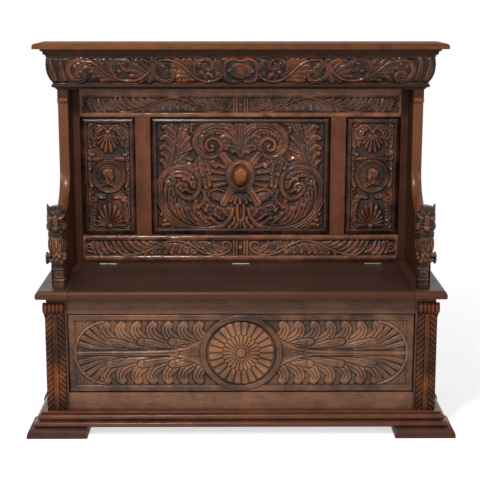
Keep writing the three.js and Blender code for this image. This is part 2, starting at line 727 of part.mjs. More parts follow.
// Hinge places, and the round seats that the knuckles need in both edges
const hingeY = lidRear;
const hingeSpacing = lidHalfWidth - hingeInset;
const hingeZ = seatTop + hingePinRise;
const hingePlaces = [
  { name: 'left', x: -hingeSpacing },
  { name: 'middle', x: 0 },
  { name: 'right', x: hingeSpacing },
];
const knuckleLength = hingeWidth / hingeKnuckles;
const pinAxis = [hingeY, hingeZ];
const hingeRange = (x) => [x - hingeWidth / 2, x + hingeWidth / 2];
const hingeSeat = (x) => bar(
  'x', knuckleRadius + 2 * fit, spread(hingeRange(x), hingeHeadLength + 2 * fit), pinAxis);
const leafZ = [hingeZ - hingeLeafHeight, hingeZ - knuckleRadius - fit];

// One leaf: a plate beside the joint, with knuckles on its own share of the pin
function hingeLeaf(x, side, isOwnKnuckle) {
  const plateY = [hingeLeafGap / 2, hingeLeafGap / 2 + hingeLeafThickness]
    .map((out) => hingeY + side * out).sort((a, b) => a - b);
  let leaf = block(hingeRange(x), plateY, leafZ);
  for (let index = 0; index < hingeKnuckles; index += 1) {
    if (!isOwnKnuckle(index)) continue;
    const start = x - hingeWidth / 2 + index * knuckleLength;
    const own = spread([start, start + knuckleLength], -fit / 2);
    leaf = leaf.add(bar('x', knuckleRadius, own, pinAxis)).add(block(own, plateY, [leafZ[0], hingeZ]));
  }
  return leaf.subtract(bar('x', hingePinRadius + fit, spread(hingeRange(x), overrun), pinAxis));
}

function hingePin(x) {
  const ends = spread(hingeRange(x), fit);
  return bar('x', hingePinRadius, ends, pinAxis)
    .add(bar('x', hingeHeadRadius, [ends[0] - hingeHeadLength, ends[0]], pinAxis))
    .add(bar('x', hingeHeadRadius, [ends[1], ends[1] + hingeHeadLength], pinAxis));
}

// The pocket that a leaf lies in, cut into the edge that it is screwed to
function leafPocket(x, side) {
  const pocketY = [-overrun, hingeLeafGap / 2 + hingeLeafThickness + fit]
    .map((out) => hingeY + side * out).sort((a, b) => a - b);
  return block(spread(hingeRange(x), fit), pocketY, [leafZ[0] - fit, seatTop + overrun]);
}

const lid = new THREE.Group();
lid.position.set(0, hingeY, hingeZ);
settle.add(lid);

let seatLid = mouldedBoard(bothWays(lidHalfWidth), [seatFront, lidRear - lidGap / 2], chestTop, nosing,
  { front: true });
let seatBackRail = block(bothWays(seatEndInner), [lidRear + lidGap / 2, rear], [chestTop, seatTop]);
for (const { name, x } of hingePlaces) {
  seatLid = seatLid.subtract(hingeSeat(x)).subtract(leafPocket(x, -1));
  seatBackRail = seatBackRail.subtract(hingeSeat(x)).subtract(leafPocket(x, 1));
  addPiece(`hinge_fixed_leaf_${name}`, hingeLeaf(x, 1, (index) => index % 2 === 0), brightSteel);
  addPiece(`hinge_lid_leaf_${name}`, hingeLeaf(x, -1, (index) => index % 2 === 1), brightSteel, lid);
  addPiece(`hinge_pin_${name}`, hingePin(x), brightSteel);
}
addPiece('seat_lid', seatLid, oak, lid);
addPiece('seat_back_rail', seatBackRail, oak);

// Back: two stiles, two rails, two muntins, and three panels held in grooves

const backY = [backFront, rear];
const muntinX = [centreOpeningWidth / 2, centreOpeningWidth / 2 + muntinWidth];
const openingZ = [backOpeningBottom, backOpeningTop];
const backBottom = railAlongX(stileInner, backY, [seatTop, backOpeningBottom]);
const backTopRail = railAlongX(stileInner, backY, [backOpeningTop, backTop]);
const muntinTenon = [spread(muntinX, -tenonShoulder), tenonIn(backY), spread(openingZ, tenonLength)];
const muntinMortise = block(...muntinTenon.map((range) => spread(range, fit)));
const backBoardY = [backFront + backPanelSetback, backFront + backPanelSetback + backPanelThickness];
const backReach = backGrooveDepth - fit;

const backBorderFront = backBoardY[0] - backFieldLift;
const backGround = backBorderFront + backCarvingDepth;
const backInsetToField = backFieldMargin + backFieldBevel + backBorderWidth;

// A panel with a raised border, bevelled down to the board outside it and sunk inside it
function backPanel(x) {
  const profile = [[0, 0], [0, overrun], [backFieldBevel, overrun + backFieldLift]];
  const raised = mouldedBoard(
    spread(x, -backFieldMargin), spread(openingZ, -backFieldMargin), 0, profile, allRound);
  const stood = geometryOf(raised).rotateX(quarter).translate(0, backBoardY[0] + overrun, 0);
  const sunk = block(spread(x, -backInsetToField), [backBorderFront - overrun, backGround],
    spread(openingZ, -backInsetToField));
  return block(spread(x, backReach), backBoardY, spread(openingZ, backReach))
    .add(solid(stood)).subtract(sunk);
}
const panelGroove = (x) => block(
  spread(x, backGrooveDepth), spread(backBoardY, fit), spread(openingZ, backGrooveDepth));

const centreX = bothWays(centreOpeningWidth / 2);
const sideX = [muntinX[1], stileInner];
const centreGroove = panelGroove(centreX);
const sideBackGroove = panelGroove(sideX);
const mirroredGroove = solid(mirrored(geometryOf(sideBackGroove)));
const mirroredMortise = solid(mirrored(geometryOf(muntinMortise)));
const cutForPanels = (rail) => rail.subtract(centreGroove).subtract(sideBackGroove)
  .subtract(mirroredGroove).subtract(muntinMortise).subtract(mirroredMortise);

addPair('back_stile', block([stileInner, backHalfWidth], backY, [seatTop, backTop])
  .subtract(backBottom.mortise).subtract(backTopRail.mortise).subtract(sideBackGroove), oak);
addPiece('back_bottom_rail', cutForPanels(backBottom.rail), carvedOak);
addPiece('back_top_rail', cutForPanels(backTopRail.rail), carvedOak);
addPair('muntin', block(muntinX, backY, openingZ).add(block(...muntinTenon))
  .subtract(centreGroove).subtract(sideBackGroove), oak);

// Carving of the middle panel, and the pad that its boss is glued on
const middleField = {
  half: [centreX[1] - backInsetToField, (openingZ[1] - openingZ[0]) / 2 - backInsetToField],
  ground: backGround,
  z: (openingZ[0] + openingZ[1]) / 2,
};
const bossZ = middleField.z;
const middleCarving = onBothHalves(middleForms.map(({ shares, halfWidths }) => (
  carvedForm(middleField, shares, halfWidths))))
  .add(carvedForm(middleField, middleRayShares, middleRayHalfWidths));

// An oval plate that stands on a face, as thick as the range along Y
function ovalPlate(halfWidth, halfHeight, y) {
  const plate = new THREE.CylinderGeometry(1, 1, y[1] - y[0], turnSteps)
    .scale(halfWidth, 1, halfHeight)
    .translate(0, (y[0] + y[1]) / 2, bossZ);
  return solid(plate);
}

const bossPad = ovalPlate(bossHalfWidth + bossRimWidth + bossPadWidth,
  bossHalfHeight + bossRimWidth + bossPadWidth, [backBorderFront, backGround + carvingRoot]);
addPiece('back_panel_middle', backPanel(centreX).add(middleCarving).add(bossPad), carvedOak);

// Side panels of the back carry a medallion: a ring round a plain head on a collar
const medallionY = [backBorderFront - medallionRimRise, backGround + carvingRoot];
const medallionCentre = [(sideX[0] + sideX[1]) / 2, (openingZ[0] + openingZ[1]) / 2];
const medallionRim = bar('y', medallionRadius, medallionY, medallionCentre, turnSteps)
  .subtract(bar('y', medallionRadius - medallionRimWidth, spread(medallionY, overrun),
    medallionCentre, turnSteps));
const medallionHead = ball(
  [medallionCentre[0], backGround, medallionCentre[1] + medallionHeadRise], medallionHeadRadii);
const medallionCollar = ball(
  [medallionCentre[0], backGround, medallionCentre[1] - medallionCollarDrop], medallionCollarRadii);
const medallionInside = bar(
  'y', medallionRadius, [backFront - overrun, backGround + carvingRoot], medallionCentre, turnSteps);
addPair('back_panel', backPanel(sideX)
  .add(medallionHead.add(medallionCollar).intersect(medallionInside)).add(medallionRim), carvedOak);

// Boss: an oval cabochon in a raised rim, glued on the middle panel
const bossRim = ovalPlate(bossHalfWidth + bossRimWidth, bossHalfHeight + bossRimWidth,
  [backBorderFront - bossRimThickness, backBorderFront]);
const bossFront = block(bothWays(medallionRadius), [backFront - wingDepth, backBorderFront],
  [bossZ - medallionRadius, bossZ + medallionRadius]);
const cabochon = ball([0, backBorderFront, bossZ], [bossHalfWidth, bossRise, bossHalfHeight]);
addPiece('centre_boss', bossRim.add(cabochon).intersect(bossFront), carvedOak);

// Wings: boards that drop straight from the cornice, then sweep forward into the arms

const wingX = [wingInner, backHalfWidth];
const wingEdgeTop = beadBottom - wingEdgeDrop;
const sweepTop = armTop + wingSweepHeight;
const sweepFrontY = armFront + armFlat;
const wingSweepDepth = wingFront - sweepFrontY;

// The front edge of a wing that stands back from the finished edge by an inset
function wingFrontEdge(inset) {
  const edge = [new THREE.Vector2(wingFront + inset, wingEdgeTop)];
  for (let step = 0; step <= sweepSteps; step += 1) {
    const turn = (step / sweepSteps) * quarter;
    edge.push(new THREE.Vector2(
      sweepFrontY + (wingSweepDepth + inset) * Math.cos(turn),
      sweepTop - (wingSweepHeight + inset) * Math.sin(turn)));
  }
  edge.push(new THREE.Vector2(armFront, armTop - inset));
  return edge;
}

const wingOutline = [
  new THREE.Vector2(backFront, seatTop),
  new THREE.Vector2(backFront, backTop),
  new THREE.Vector2(wingFront, backTop),
  new THREE.Vector2(wingFront, wingEdgeTop),
  ...wingFrontEdge(wingEdgeThickness),
  new THREE.Vector2(armFront, seatTop),
];
const acrossX = (x) => (point) => new THREE.Vector3(x, point.x, point.y);
addPair('wing', sweep(wingOutline, wingX.map(acrossX)), oak);

// Edge strip: a rounded bead bent along the front edge of the wing
const stripEdge = wingFrontEdge(wingEdgeThickness - fit / 2);
const stripOuter = wingFrontEdge(0);
const stripShape = new THREE.Shape();
stripShape.moveTo(0, 0);
stripShape.lineTo(wingThickness, 0);
stripShape.bezierCurveTo(wingThickness, 1, wingThickness * (2 / 3), 1, wingThickness / 2, 1);
stripShape.bezierCurveTo(wingThickness / 3, 1, 0, 1, 0, 0);
const strip = sweep(stripShape.getPoints(curveSteps).slice(0, -1), stripEdge.map((inner, index) => (
  (point) => {
    const outer = stripOuter[index];
    const at = inner.clone().lerp(outer, point.y);
    return new THREE.Vector3(wingInner + point.x, at.x, at.y);
  })));
addPair('wing_edge', strip, oak);

// Arm figures: a post, a scroll, a mane, and a horned head that looks forward

const headX = seatEndInner + figureHeadInset;
const postTop = seatTop + figurePostHeight;
const figurePostX = [wingInner, wingInner + figurePostWidth];
const scrollX = [seatEndInner, seatEndInner + figureScrollWidth];
const scrollZ = postTop + figureScrollRadius;
const scrollY = figureFront + fit;
const maneZ = scrollZ + figureManeRadii[2];
const earZ = seatTop + figureHeight - figureEarRadii[2];
const headZ = seatTop + figureHeight - figureEarRise - figureHeadRadii[2];
const headY = figureFront + figureHeadRadii[1] / 2;
const muzzleY = headY - figureMuzzleReach;
const figureBack = block(
  wingX, [figureRear - figureBackDepth, figureRear], [seatTop, headZ]);
const figureKeep = block(
  [seatEndInner, backHalfWidth + wingThickness], [figureFront - wingDepth, figureRear], [seatTop, backTop]);
const figure = block(figurePostX, [figureFront, figureRear], [seatTop, scrollZ])
  .add(figureBack)
  .add(bar('x', figureScrollRadius, scrollX, [scrollY, scrollZ], ballSteps))
  .add(ball([headX, headY, maneZ], figureManeRadii))
  .add(ball([headX, headY, headZ], figureHeadRadii))
  .add(ball([headX, muzzleY, headZ - figureMuzzleRadii[2] / 2], figureMuzzleRadii))
  .add(ball([headX - figureEarSpacing, headY, earZ], figureEarRadii, -figureEarLean))
  .add(ball([headX + figureEarSpacing, headY, earZ], figureEarRadii, figureEarLean))
  .intersect(figureKeep);
addPair('arm_figure', figure, carvedOak);

// Cornice box: it hangs on the heads of the stiles and wings

// A moulding in one piece round the front and both sides
const roundThree = (profile, bottom) => moulding(profile, bottom, [
  [-backHalfWidth, rear, -1, 0], [-backHalfWidth, wingFront, -1, -1],
  [backHalfWidth, wingFront, 1, -1], [backHalfWidth, rear, 1, 0]]);

const beadProfile = new THREE.Shape();
beadProfile.moveTo(0, 0);
beadProfile.lineTo(beadNeckOut / 2, 0);
beadProfile.quadraticCurveTo(beadNeckOut, beadCoveHeight, beadOut - beadNeckOut, beadCoveHeight);
beadProfile.quadraticCurveTo(beadOut, beadCoveHeight, beadOut, (beadCoveHeight + beadHeight) / 2);
beadProfile.quadraticCurveTo(beadOut, beadHeight, beadOut - beadNeckOut, beadHeight);
beadProfile.lineTo(0, beadHeight);
addPiece('frieze_bead', roundThree(beadProfile, beadBottom), oak);

const friezeProfile = new THREE.Shape();
friezeProfile.moveTo(0, 0);
friezeProfile.lineTo(friezeFootOut, 0);
friezeProfile.bezierCurveTo(friezeOut - beadNeckOut, friezeHeight / 4, friezeOut, friezeHeight / 2,
  friezeOut, friezeHeight * (3 / 4));
friezeProfile.quadraticCurveTo(friezeOut, friezeHeight, friezeCrownOut, friezeHeight);
friezeProfile.lineTo(0, friezeHeight);
const friezeRuns = mitredRuns(friezeProfile, friezeBottom, backHalfWidth, wingFront);
addPiece('frieze_front', friezeRuns.front, carvedOak);
addPair('frieze', friezeRuns.side, carvedOak);

const bedProfile = new THREE.Shape();
bedProfile.moveTo(0, 0);
bedProfile.lineTo(friezeCrownOut, 0);
bedProfile.lineTo(friezeCrownOut, bedFillet);
bedProfile.bezierCurveTo(bedOut, bedFillet, friezeCrownOut, bedHeight - bedFillet,
  bedOut, bedHeight - bedFillet);
bedProfile.lineTo(bedOut, bedHeight);
bedProfile.lineTo(0, bedHeight);
addPiece('cornice_moulding', roundThree(bedProfile, bedBottom), oak);

const topProfile = [[0, 0], [0, topThickness - topOvolo]];
for (let step = 1; step <= 2 * curveSteps; step += 1) {
  const turn = (step / (2 * curveSteps)) * quarter;
  topProfile.push([topOvolo * (1 - Math.cos(turn)), topThickness - topOvolo * (1 - Math.sin(turn))]);
}
addPiece('cornice_top', mouldedBoard(
  bothWays(backHalfWidth + topOverhangSide), [wingFront - topOverhangFront, rear],
  backTop, topProfile, { left: true, right: true, front: true }), oak);
addPiece('cornice_soffit', block(
  bothWays(wingInner), [wingFront, backFront], [beadBottom, beadBottom + soffitThickness]), oak);

export default settle;
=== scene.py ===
import math
import bpy
import numpy as np
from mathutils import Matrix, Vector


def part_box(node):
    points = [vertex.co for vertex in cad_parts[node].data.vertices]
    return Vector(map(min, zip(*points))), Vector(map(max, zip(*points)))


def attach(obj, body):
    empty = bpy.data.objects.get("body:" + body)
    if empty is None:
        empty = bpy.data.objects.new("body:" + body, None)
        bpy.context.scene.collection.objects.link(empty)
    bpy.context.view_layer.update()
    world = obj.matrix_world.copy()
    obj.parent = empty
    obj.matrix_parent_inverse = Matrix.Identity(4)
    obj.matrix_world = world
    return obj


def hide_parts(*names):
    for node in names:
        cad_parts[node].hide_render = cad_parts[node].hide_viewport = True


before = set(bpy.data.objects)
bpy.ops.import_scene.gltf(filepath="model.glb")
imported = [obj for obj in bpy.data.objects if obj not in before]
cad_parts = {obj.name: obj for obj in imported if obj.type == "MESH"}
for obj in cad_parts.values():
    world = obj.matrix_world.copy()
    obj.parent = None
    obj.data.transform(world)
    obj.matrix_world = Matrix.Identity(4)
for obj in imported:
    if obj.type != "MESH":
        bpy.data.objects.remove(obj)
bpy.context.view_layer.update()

# The place: the settle stands on a pale floor before a white background, under three soft lamps.
# The camera looks from standing eye height, about 3.9 m away, slightly down at the back panels.
scene = bpy.context.scene
scene.view_settings.view_transform = "Standard"


def add(tree, kind, values=None, **settings):
    """A new node with its settings, and its inputs set to values or linked to other nodes' outputs."""
    made = tree.nodes.new(kind)
    for name, value in settings.items():
        setattr(made, name, value)
    for name, value in (values or {}).items():
        if isinstance(value, bpy.types.NodeSocket):
            tree.links.new(value, made.inputs[name])
        else:
            made.inputs[name].default_value = value
    return made


def calculate(tree, operation, *values):
    """The result of one sum, from plain numbers or other nodes' outputs."""
    return add(tree, "ShaderNodeMath", dict(enumerate(values)), operation=operation).outputs[0]


def spread(tree, value, low, high, to_low=0.0, to_high=1.0):
    """A value whose range from low to high is drawn out to another range and cut off at its ends."""
    return add(tree, "ShaderNodeMapRange", {"Value": value, "From Min": low, "From Max": high,
                                            "To Min": to_low, "To Max": to_high}).outputs[0]


def seen_as_background(tree):
    """1 for rays that should meet a plain white background: from the camera, or by way of gloss or glass."""
    path = add(tree, "ShaderNodeLightPath").outputs
    either = calculate(tree, "MAXIMUM", path["Is Camera Ray"], path["Is Glossy Ray"])
    return calculate(tree, "MAXIMUM", either, path["Is Transmission Ray"])


def new_material(name):
    """A material and its node tree, which is empty."""
    material = bpy.data.materials.new(name)
    material.use_nodes = True
    material.node_tree.nodes.clear()
    return material, material.node_tree


def put(name, data):
    """A new object in the scene."""
    made = bpy.data.objects.new(name, data)
    scene.collection.objects.link(made)
    return made


camera_data = bpy.data.cameras.new("camera")
camera_data.lens = 88.37
camera_data.sensor_width = 36.0
looks_down, turned_right = 0.2064, 0.005
camera = put("camera", camera_data)
camera.location = (-0.0226, -3.8854, 1.4227)
camera.rotation_euler = (math.pi / 2 - looks_down, 0.0, -turned_right)
scene.camera = camera

white = (1.0, 1.0, 1.0, 1.0)
sky_fill = 0.25
world = bpy.data.worlds.new("surroundings")
world.use_nodes = True
scene.world = world
sky_tree = world.node_tree
sky_tree.nodes.clear()
strength = spread(sky_tree, seen_as_background(sky_tree), 0.0, 1.0, sky_fill, 1.0)
sky = add(sky_tree, "ShaderNodeBackground", {"Color": white, "Strength": strength})
add(sky_tree, "ShaderNodeOutputWorld", {"Surface": sky.outputs[0]})

for lamp_name, place, turn, size, power in [
        ("lamp_above", (-0.5, -1.9, 2.7), (42, 0, -13), (0.42, 0.3), 50.0),
        ("lamp_left", (-2.3, -2.3, 1.7), (74, 0, -43), (0.4, 0.7), 22.0),
        ("lamp_right", (2.3, -2.3, 1.7), (74, 0, 43), (0.4, 0.7), 15.0)]:
    lamp_data = bpy.data.lights.new(lamp_name, "AREA")
    lamp_data.shape = "RECTANGLE"
    lamp_data.size, lamp_data.size_y = size
    lamp_data.energy = power
    lamp = put(lamp_name, lamp_data)
    lamp.location = place
    lamp.rotation_euler = [math.radians(angle) for angle in turn]

floor_paint, floor_tree = new_material("pale_floor")
floor_glow = 0.67
fade_start, fade_end = 0.9, 2.2
matt = add(floor_tree, "ShaderNodeBsdfDiffuse", {"Color": (0.8, 0.8, 0.8, 1.0)})
glow = add(floor_tree, "ShaderNodeEmission", {"Color": white, "Strength": floor_glow})
lit = add(floor_tree, "ShaderNodeAddShader", {0: matt.outputs[0], 1: glow.outputs[0]})
floor_where = add(floor_tree, "ShaderNodeTexCoord")
from_settle = add(floor_tree, "ShaderNodeVectorMath", {0: floor_where.outputs["Object"]}, operation="LENGTH")
far_out = spread(floor_tree, from_settle.outputs["Value"], fade_start, fade_end)
bare_white = add(floor_tree, "ShaderNodeEmission", {"Color": white, "Strength": 1.0})
faded = add(floor_tree, "ShaderNodeMixShader", {0: far_out, 1: lit.outputs[0], 2: bare_white.outputs[0]})
floor_mix = add(floor_tree, "ShaderNodeMixShader",
                {0: seen_as_background(floor_tree), 1: matt.outputs[0], 2: faded.outputs[0]})
add(floor_tree, "ShaderNodeOutputMaterial", {"Surface": floor_mix.outputs[0]})
floor_half = 6.0
floor_corners = [(floor_half * x, floor_half * y, 0.0) for x, y in ((-1, -1), (1, -1), (1, 1), (-1, 1))]
floor_mesh = bpy.data.meshes.new("floor")
floor_mesh.from_pydata(floor_corners, [], [(0, 1, 2, 3)])
floor_mesh.materials.append(floor_paint)
floor = put("floor", floor_mesh)

# Feet and base moulding: four low oak blocks that spread at the floor, under a moulding of two rolls and
# a bead that is mitred round the chest. Dark stained, waxed oak, with the grain along each length.


def stain(red, green, blue):
    """A colour as it looks on the wood, from 0 to 255 a channel."""
    shares = [channel / 255 for channel in (red, green, blue)]
    return (*[s / 12.92 if s < 0.04045 else ((s + 0.055) / 1.055) ** 2.4 for s in shares], 1.0)


def scaled(colour, red, green, blue):
    """A colour with each channel multiplied."""
    return (colour[0] * red, colour[1] * green, colour[2] * blue, 1.0)


def new_group(name, takes, gives):
    """An empty shader node group with named inputs and outputs."""
    group = bpy.data.node_groups.new(name, "ShaderNodeTree")
    for socket_name, kind, value in takes:
        socket = group.interface.new_socket(name=socket_name, in_out="INPUT", socket_type=kind)
        if value is not None:
            socket.default_value = value
    for socket_name in gives:
        group.interface.new_socket(name=socket_name, in_out="OUTPUT", socket_type="NodeSocketFloat")
    return group, add(group, "NodeGroupInput").outputs, add(group, "NodeGroupOutput").inputs


def noise(tree, vector, scale, detail, roughness=0.5, distortion=0.0):
    """Soft noise from 0 to 1."""
    return add(tree, "ShaderNodeTexNoise", {
        "Vector": vector, "Scale": scale, "Detail": detail, "Roughness": roughness,
        "Distortion": distortion}).outputs["Fac"]


grain_group, grain_in, grain_out = new_group(
    "oak_grain", [("Vector", "NodeSocketVector", None), ("Board Width", "NodeSocketFloat", 0.1)],
    ["Tone", "Pores", "Patina"])
along_grain = (0.07, 1.0, 1.0)
fibre_scale, pore_scale, patina_scale = 330.0, 820.0, 13.0
per_width = calculate(grain_group, "DIVIDE", 1.6, grain_in["Board Width"])
drawn_out = add(grain_group, "ShaderNodeVectorMath", {0: grain_in["Vector"], 1: along_grain},
                operation="MULTIPLY").outputs[0]
broad = noise(grain_group, drawn_out, per_width, 5.0, 0.6, 0.9)
fibre = calculate(grain_group, "MULTIPLY", noise(grain_group, drawn_out, fibre_scale, 3.0, 0.6), 0.45)
tone = calculate(grain_group, "MULTIPLY_ADD", broad, 0.55, fibre)
pores = noise(grain_group, drawn_out, pore_scale, 1.0)
patina = noise(grain_group, grain_in["Vector"], patina_scale, 5.0, 0.62)
for socket_name, value, low, high in [("Tone", tone, 0.34, 0.66), ("Pores", pores, 0.6, 0.7),
                                      ("Patina", patina, 0.36, 0.66)]:
    grain_group.links.new(spread(grain_group, value, low, high), grain_out[socket_name])

wear_group, wear_in, wear_out = new_group(
    "rubbed_edges", [("Vector", "NodeSocketVector", None), ("Reach", "NodeSocketFloat", 0.003)], ["Mask"])
rub_scale = 42.0
rounded = add(wear_group, "ShaderNodeBevel", {"Radius": wear_in["Reach"]}, samples=4)
facing = add(wear_group, "ShaderNodeNewGeometry")
agree = add(wear_group, "ShaderNodeVectorMath", {0: rounded.outputs[0], 1: facing.outputs["Normal"]},
            operation="DOT_PRODUCT")
edge = spread(wear_group, agree.outputs["Value"], 0.995, 0.86)
rub = spread(wear_group, noise(wear_group, wear_in["Vector"], rub_scale, 4.0), 0.34, 0.6)
wear_group.links.new(calculate(wear_group, "MULTIPLY", edge, rub), wear_out["Mask"])

turn_for = {"x": (0.0, 0.0, 0.0), "y": (0.0, 0.0, -math.pi / 2), "z": (0.0, math.pi / 2, 0.0)}


def start_wood(name, along, width):
    """A material with the grain and the rubbed edges placed in it, and its Principled shader."""
    wood, tree = new_material(name)
    where = add(tree, "ShaderNodeTexCoord").outputs["Object"]
    turned = add(tree, "ShaderNodeMapping", {"Vector": where, "Rotation": turn_for[along]})
    grain = add(tree, "ShaderNodeGroup", node_tree=grain_group)
    tree.links.new(turned.outputs[0], grain.inputs["Vector"])
    grain.inputs["Board Width"].default_value = width
    wear = add(tree, "ShaderNodeGroup", node_tree=wear_group)
    tree.links.new(where, wear.inputs["Vector"])
    shader = add(tree, "ShaderNodeBsdfPrincipled")
    add(tree, "ShaderNodeOutputMaterial", {"Surface": shader.outputs[0]})
    return wood, tree, grain.outputs, wear, shader.inputs


def blend_colours(tree, share, first, second):
    """One colour over another, by a share that varies over the surface."""
    return add(tree, "ShaderNodeMix", {0: share, 6: first, 7: second}, data_type="RGBA").outputs[2]


def finish_wood(tree, inputs, colour, rough, shine, raised, strength, distance):
    """Gives the shader of a wood its colour, roughness and shine, and the fine bumps of its surface."""
    bump = add(tree, "ShaderNodeBump", {"Height": raised, "Strength": strength, "Distance": distance})
    for socket_name, source in [("Base Color", colour), ("Roughness", rough), ("Normal", bump.outputs[0])]:
        tree.links.new(source, inputs[socket_name])
    inputs["Specular IOR Level"].default_value = shine


def plain_oak(name, along, dark, light, edges, width=0.09, gloss=0.4, wear_share=0.7, patina_share=0.45,
              reach=0.003, shine=0.16):
    """Stained and waxed oak for flat boards and mouldings, with another tone along its edges."""
    wood, tree, grain, wear, inputs = start_wood(name, along, width)
    wear.inputs["Reach"].default_value = reach
    body = blend_colours(tree, grain["Tone"], dark, light)
    for value, amount, over in [(grain["Patina"], patina_share, scaled(light, 1.6, 1.5, 1.4)),
                                (wear.outputs["Mask"], wear_share, edges),
                                (grain["Pores"], 0.55, scaled(dark, 0.35, 0.35, 0.35))]:
        body = blend_colours(tree, calculate(tree, "MULTIPLY", value, amount), body, over)
    rough = spread(tree, grain["Tone"], 0.0, 1.0, gloss + 0.12, gloss)
    raised = calculate(tree, "SUBTRACT", grain["Tone"], grain["Pores"])
    finish_wood(tree, inputs, body, rough, shine, raised, 0.22, 0.0006)
    return wood


def dress(names, wood, arris=0.0011):
    """Gives boards from the frame their finish, and takes the sharpness off their edges."""
    for name in names:
        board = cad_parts[name]
        if not board.material_slots:
            board.data.materials.append(wood)
        for place in board.material_slots:
            place.material = wood
        for face in board.data.polygons:
            face.use_smooth = True
        weld = board.modifiers.new("weld", "WELD")
        weld.merge_threshold = 0.00001
        soften = board.modifiers.new("arris", "BEVEL")
        soften.width = arris
        soften.segments = 2
        soften.limit_method = "ANGLE"
        soften.angle_limit = math.radians(32)
        evened = board.modifiers.new("even_shading", "WEIGHTED_NORMAL")
        evened.keep_sharp = True


sides = {"left": -1, "right": 1}


def pair(name):
    """The names of a piece on the left and its mirror image on the right."""
    return [f"{name}_{side_name}" for side_name in sides]


fine_arris = 0.0006
moulding_oak = {along: plain_oak(f"oak_moulding_{along}", along, stain(60, 31, 19), stain(104, 60, 40),
                                 stain(158, 98, 66), gloss=0.2, shine=0.26) for along in "xy"}
dress(["base_front"], moulding_oak["x"], fine_arris)
dress(pair("base"), moulding_oak["y"], fine_arris)
foot_oak = plain_oak("oak_feet", "x", stain(42, 25, 18), stain(78, 50, 37), stain(156, 98, 62),
                     wear_share=1.0, reach=0.006)
dress(pair("foot_front") + pair("foot_rear"), foot_oak)

# Chest frame: corner posts, rails with tenons, and the side panels. Oak boards with the grain along each
# length, stained a greyer brown than the mouldings, and darker along their edges.
frame_edge = stain(54, 36, 29)
frame_oak = {along: plain_oak(f"oak_frame_{along}", along, stain(72, 49, 40), stain(112, 80, 64), frame_edge,
                              reach=0.006) for along in "xyz"}
low_rail_oak = plain_oak("oak_frame_low", "x", stain(88, 60, 47), stain(134, 96, 75), frame_edge,
                         reach=0.006)
dress(["front_top_rail"], frame_oak["x"])
dress(["front_bottom_rail"], low_rail_oak)
dress(pair("side_top_rail") + pair("side_bottom_rail") + pair("side_panel"), frame_oak["y"])
dress(pair("post_front") + pair("post_rear"), frame_oak["z"])

# Inside boards: the floor and the back of the chest, in oak that was never stained. They show only from
# behind and under the open lid.
unstained_oak = plain_oak("oak_unstained", "x", stain(112, 84, 58), stain(152, 120, 88), stain(170, 138, 104),
                          gloss=0.5, wear_share=0.3, patina_share=0.3)
dress(["chest_floor", "chest_back"], unstained_oak)

# Chest panel: one wide oak board with a flat border, sunk between the border and carved with leaves that
# sweep out from a middle rib. A roundel with a rim stands at its centre.
MM = 0.001


def curve(points, steps=6):
    """A smooth line through a few points."""
    p = np.asarray(points, float)
    p = np.vstack((2 * p[0] - p[1], p, 2 * p[-1] - p[-2]))
    t = np.linspace(0, 1, steps, endpoint=False)[:, None]
    parts = []
    for a, b, c, d in zip(p, p[1:], p[2:], p[3:]):
        parts.append(0.5 * (2 * b + (c - a) * t + (2 * a - 5 * b + 4 * c - d) * t ** 2
                            + (3 * b - a - 3 * c + d) * t ** 3))
    return np.vstack((*parts, p[-2:-1]))


def smoothed(values, times):
    """A grid of values, evened out with its neighbours a number of times."""
    for _ in range(times):
        for axis in (0, 1):
            lines = np.moveaxis(values, axis, 0)
            padded = np.concatenate((lines[:1], lines, lines[-1:]))
            values = np.moveaxis((padded[:-2] + 2 * lines + padded[2:]) / 4, 0, axis)
    return values


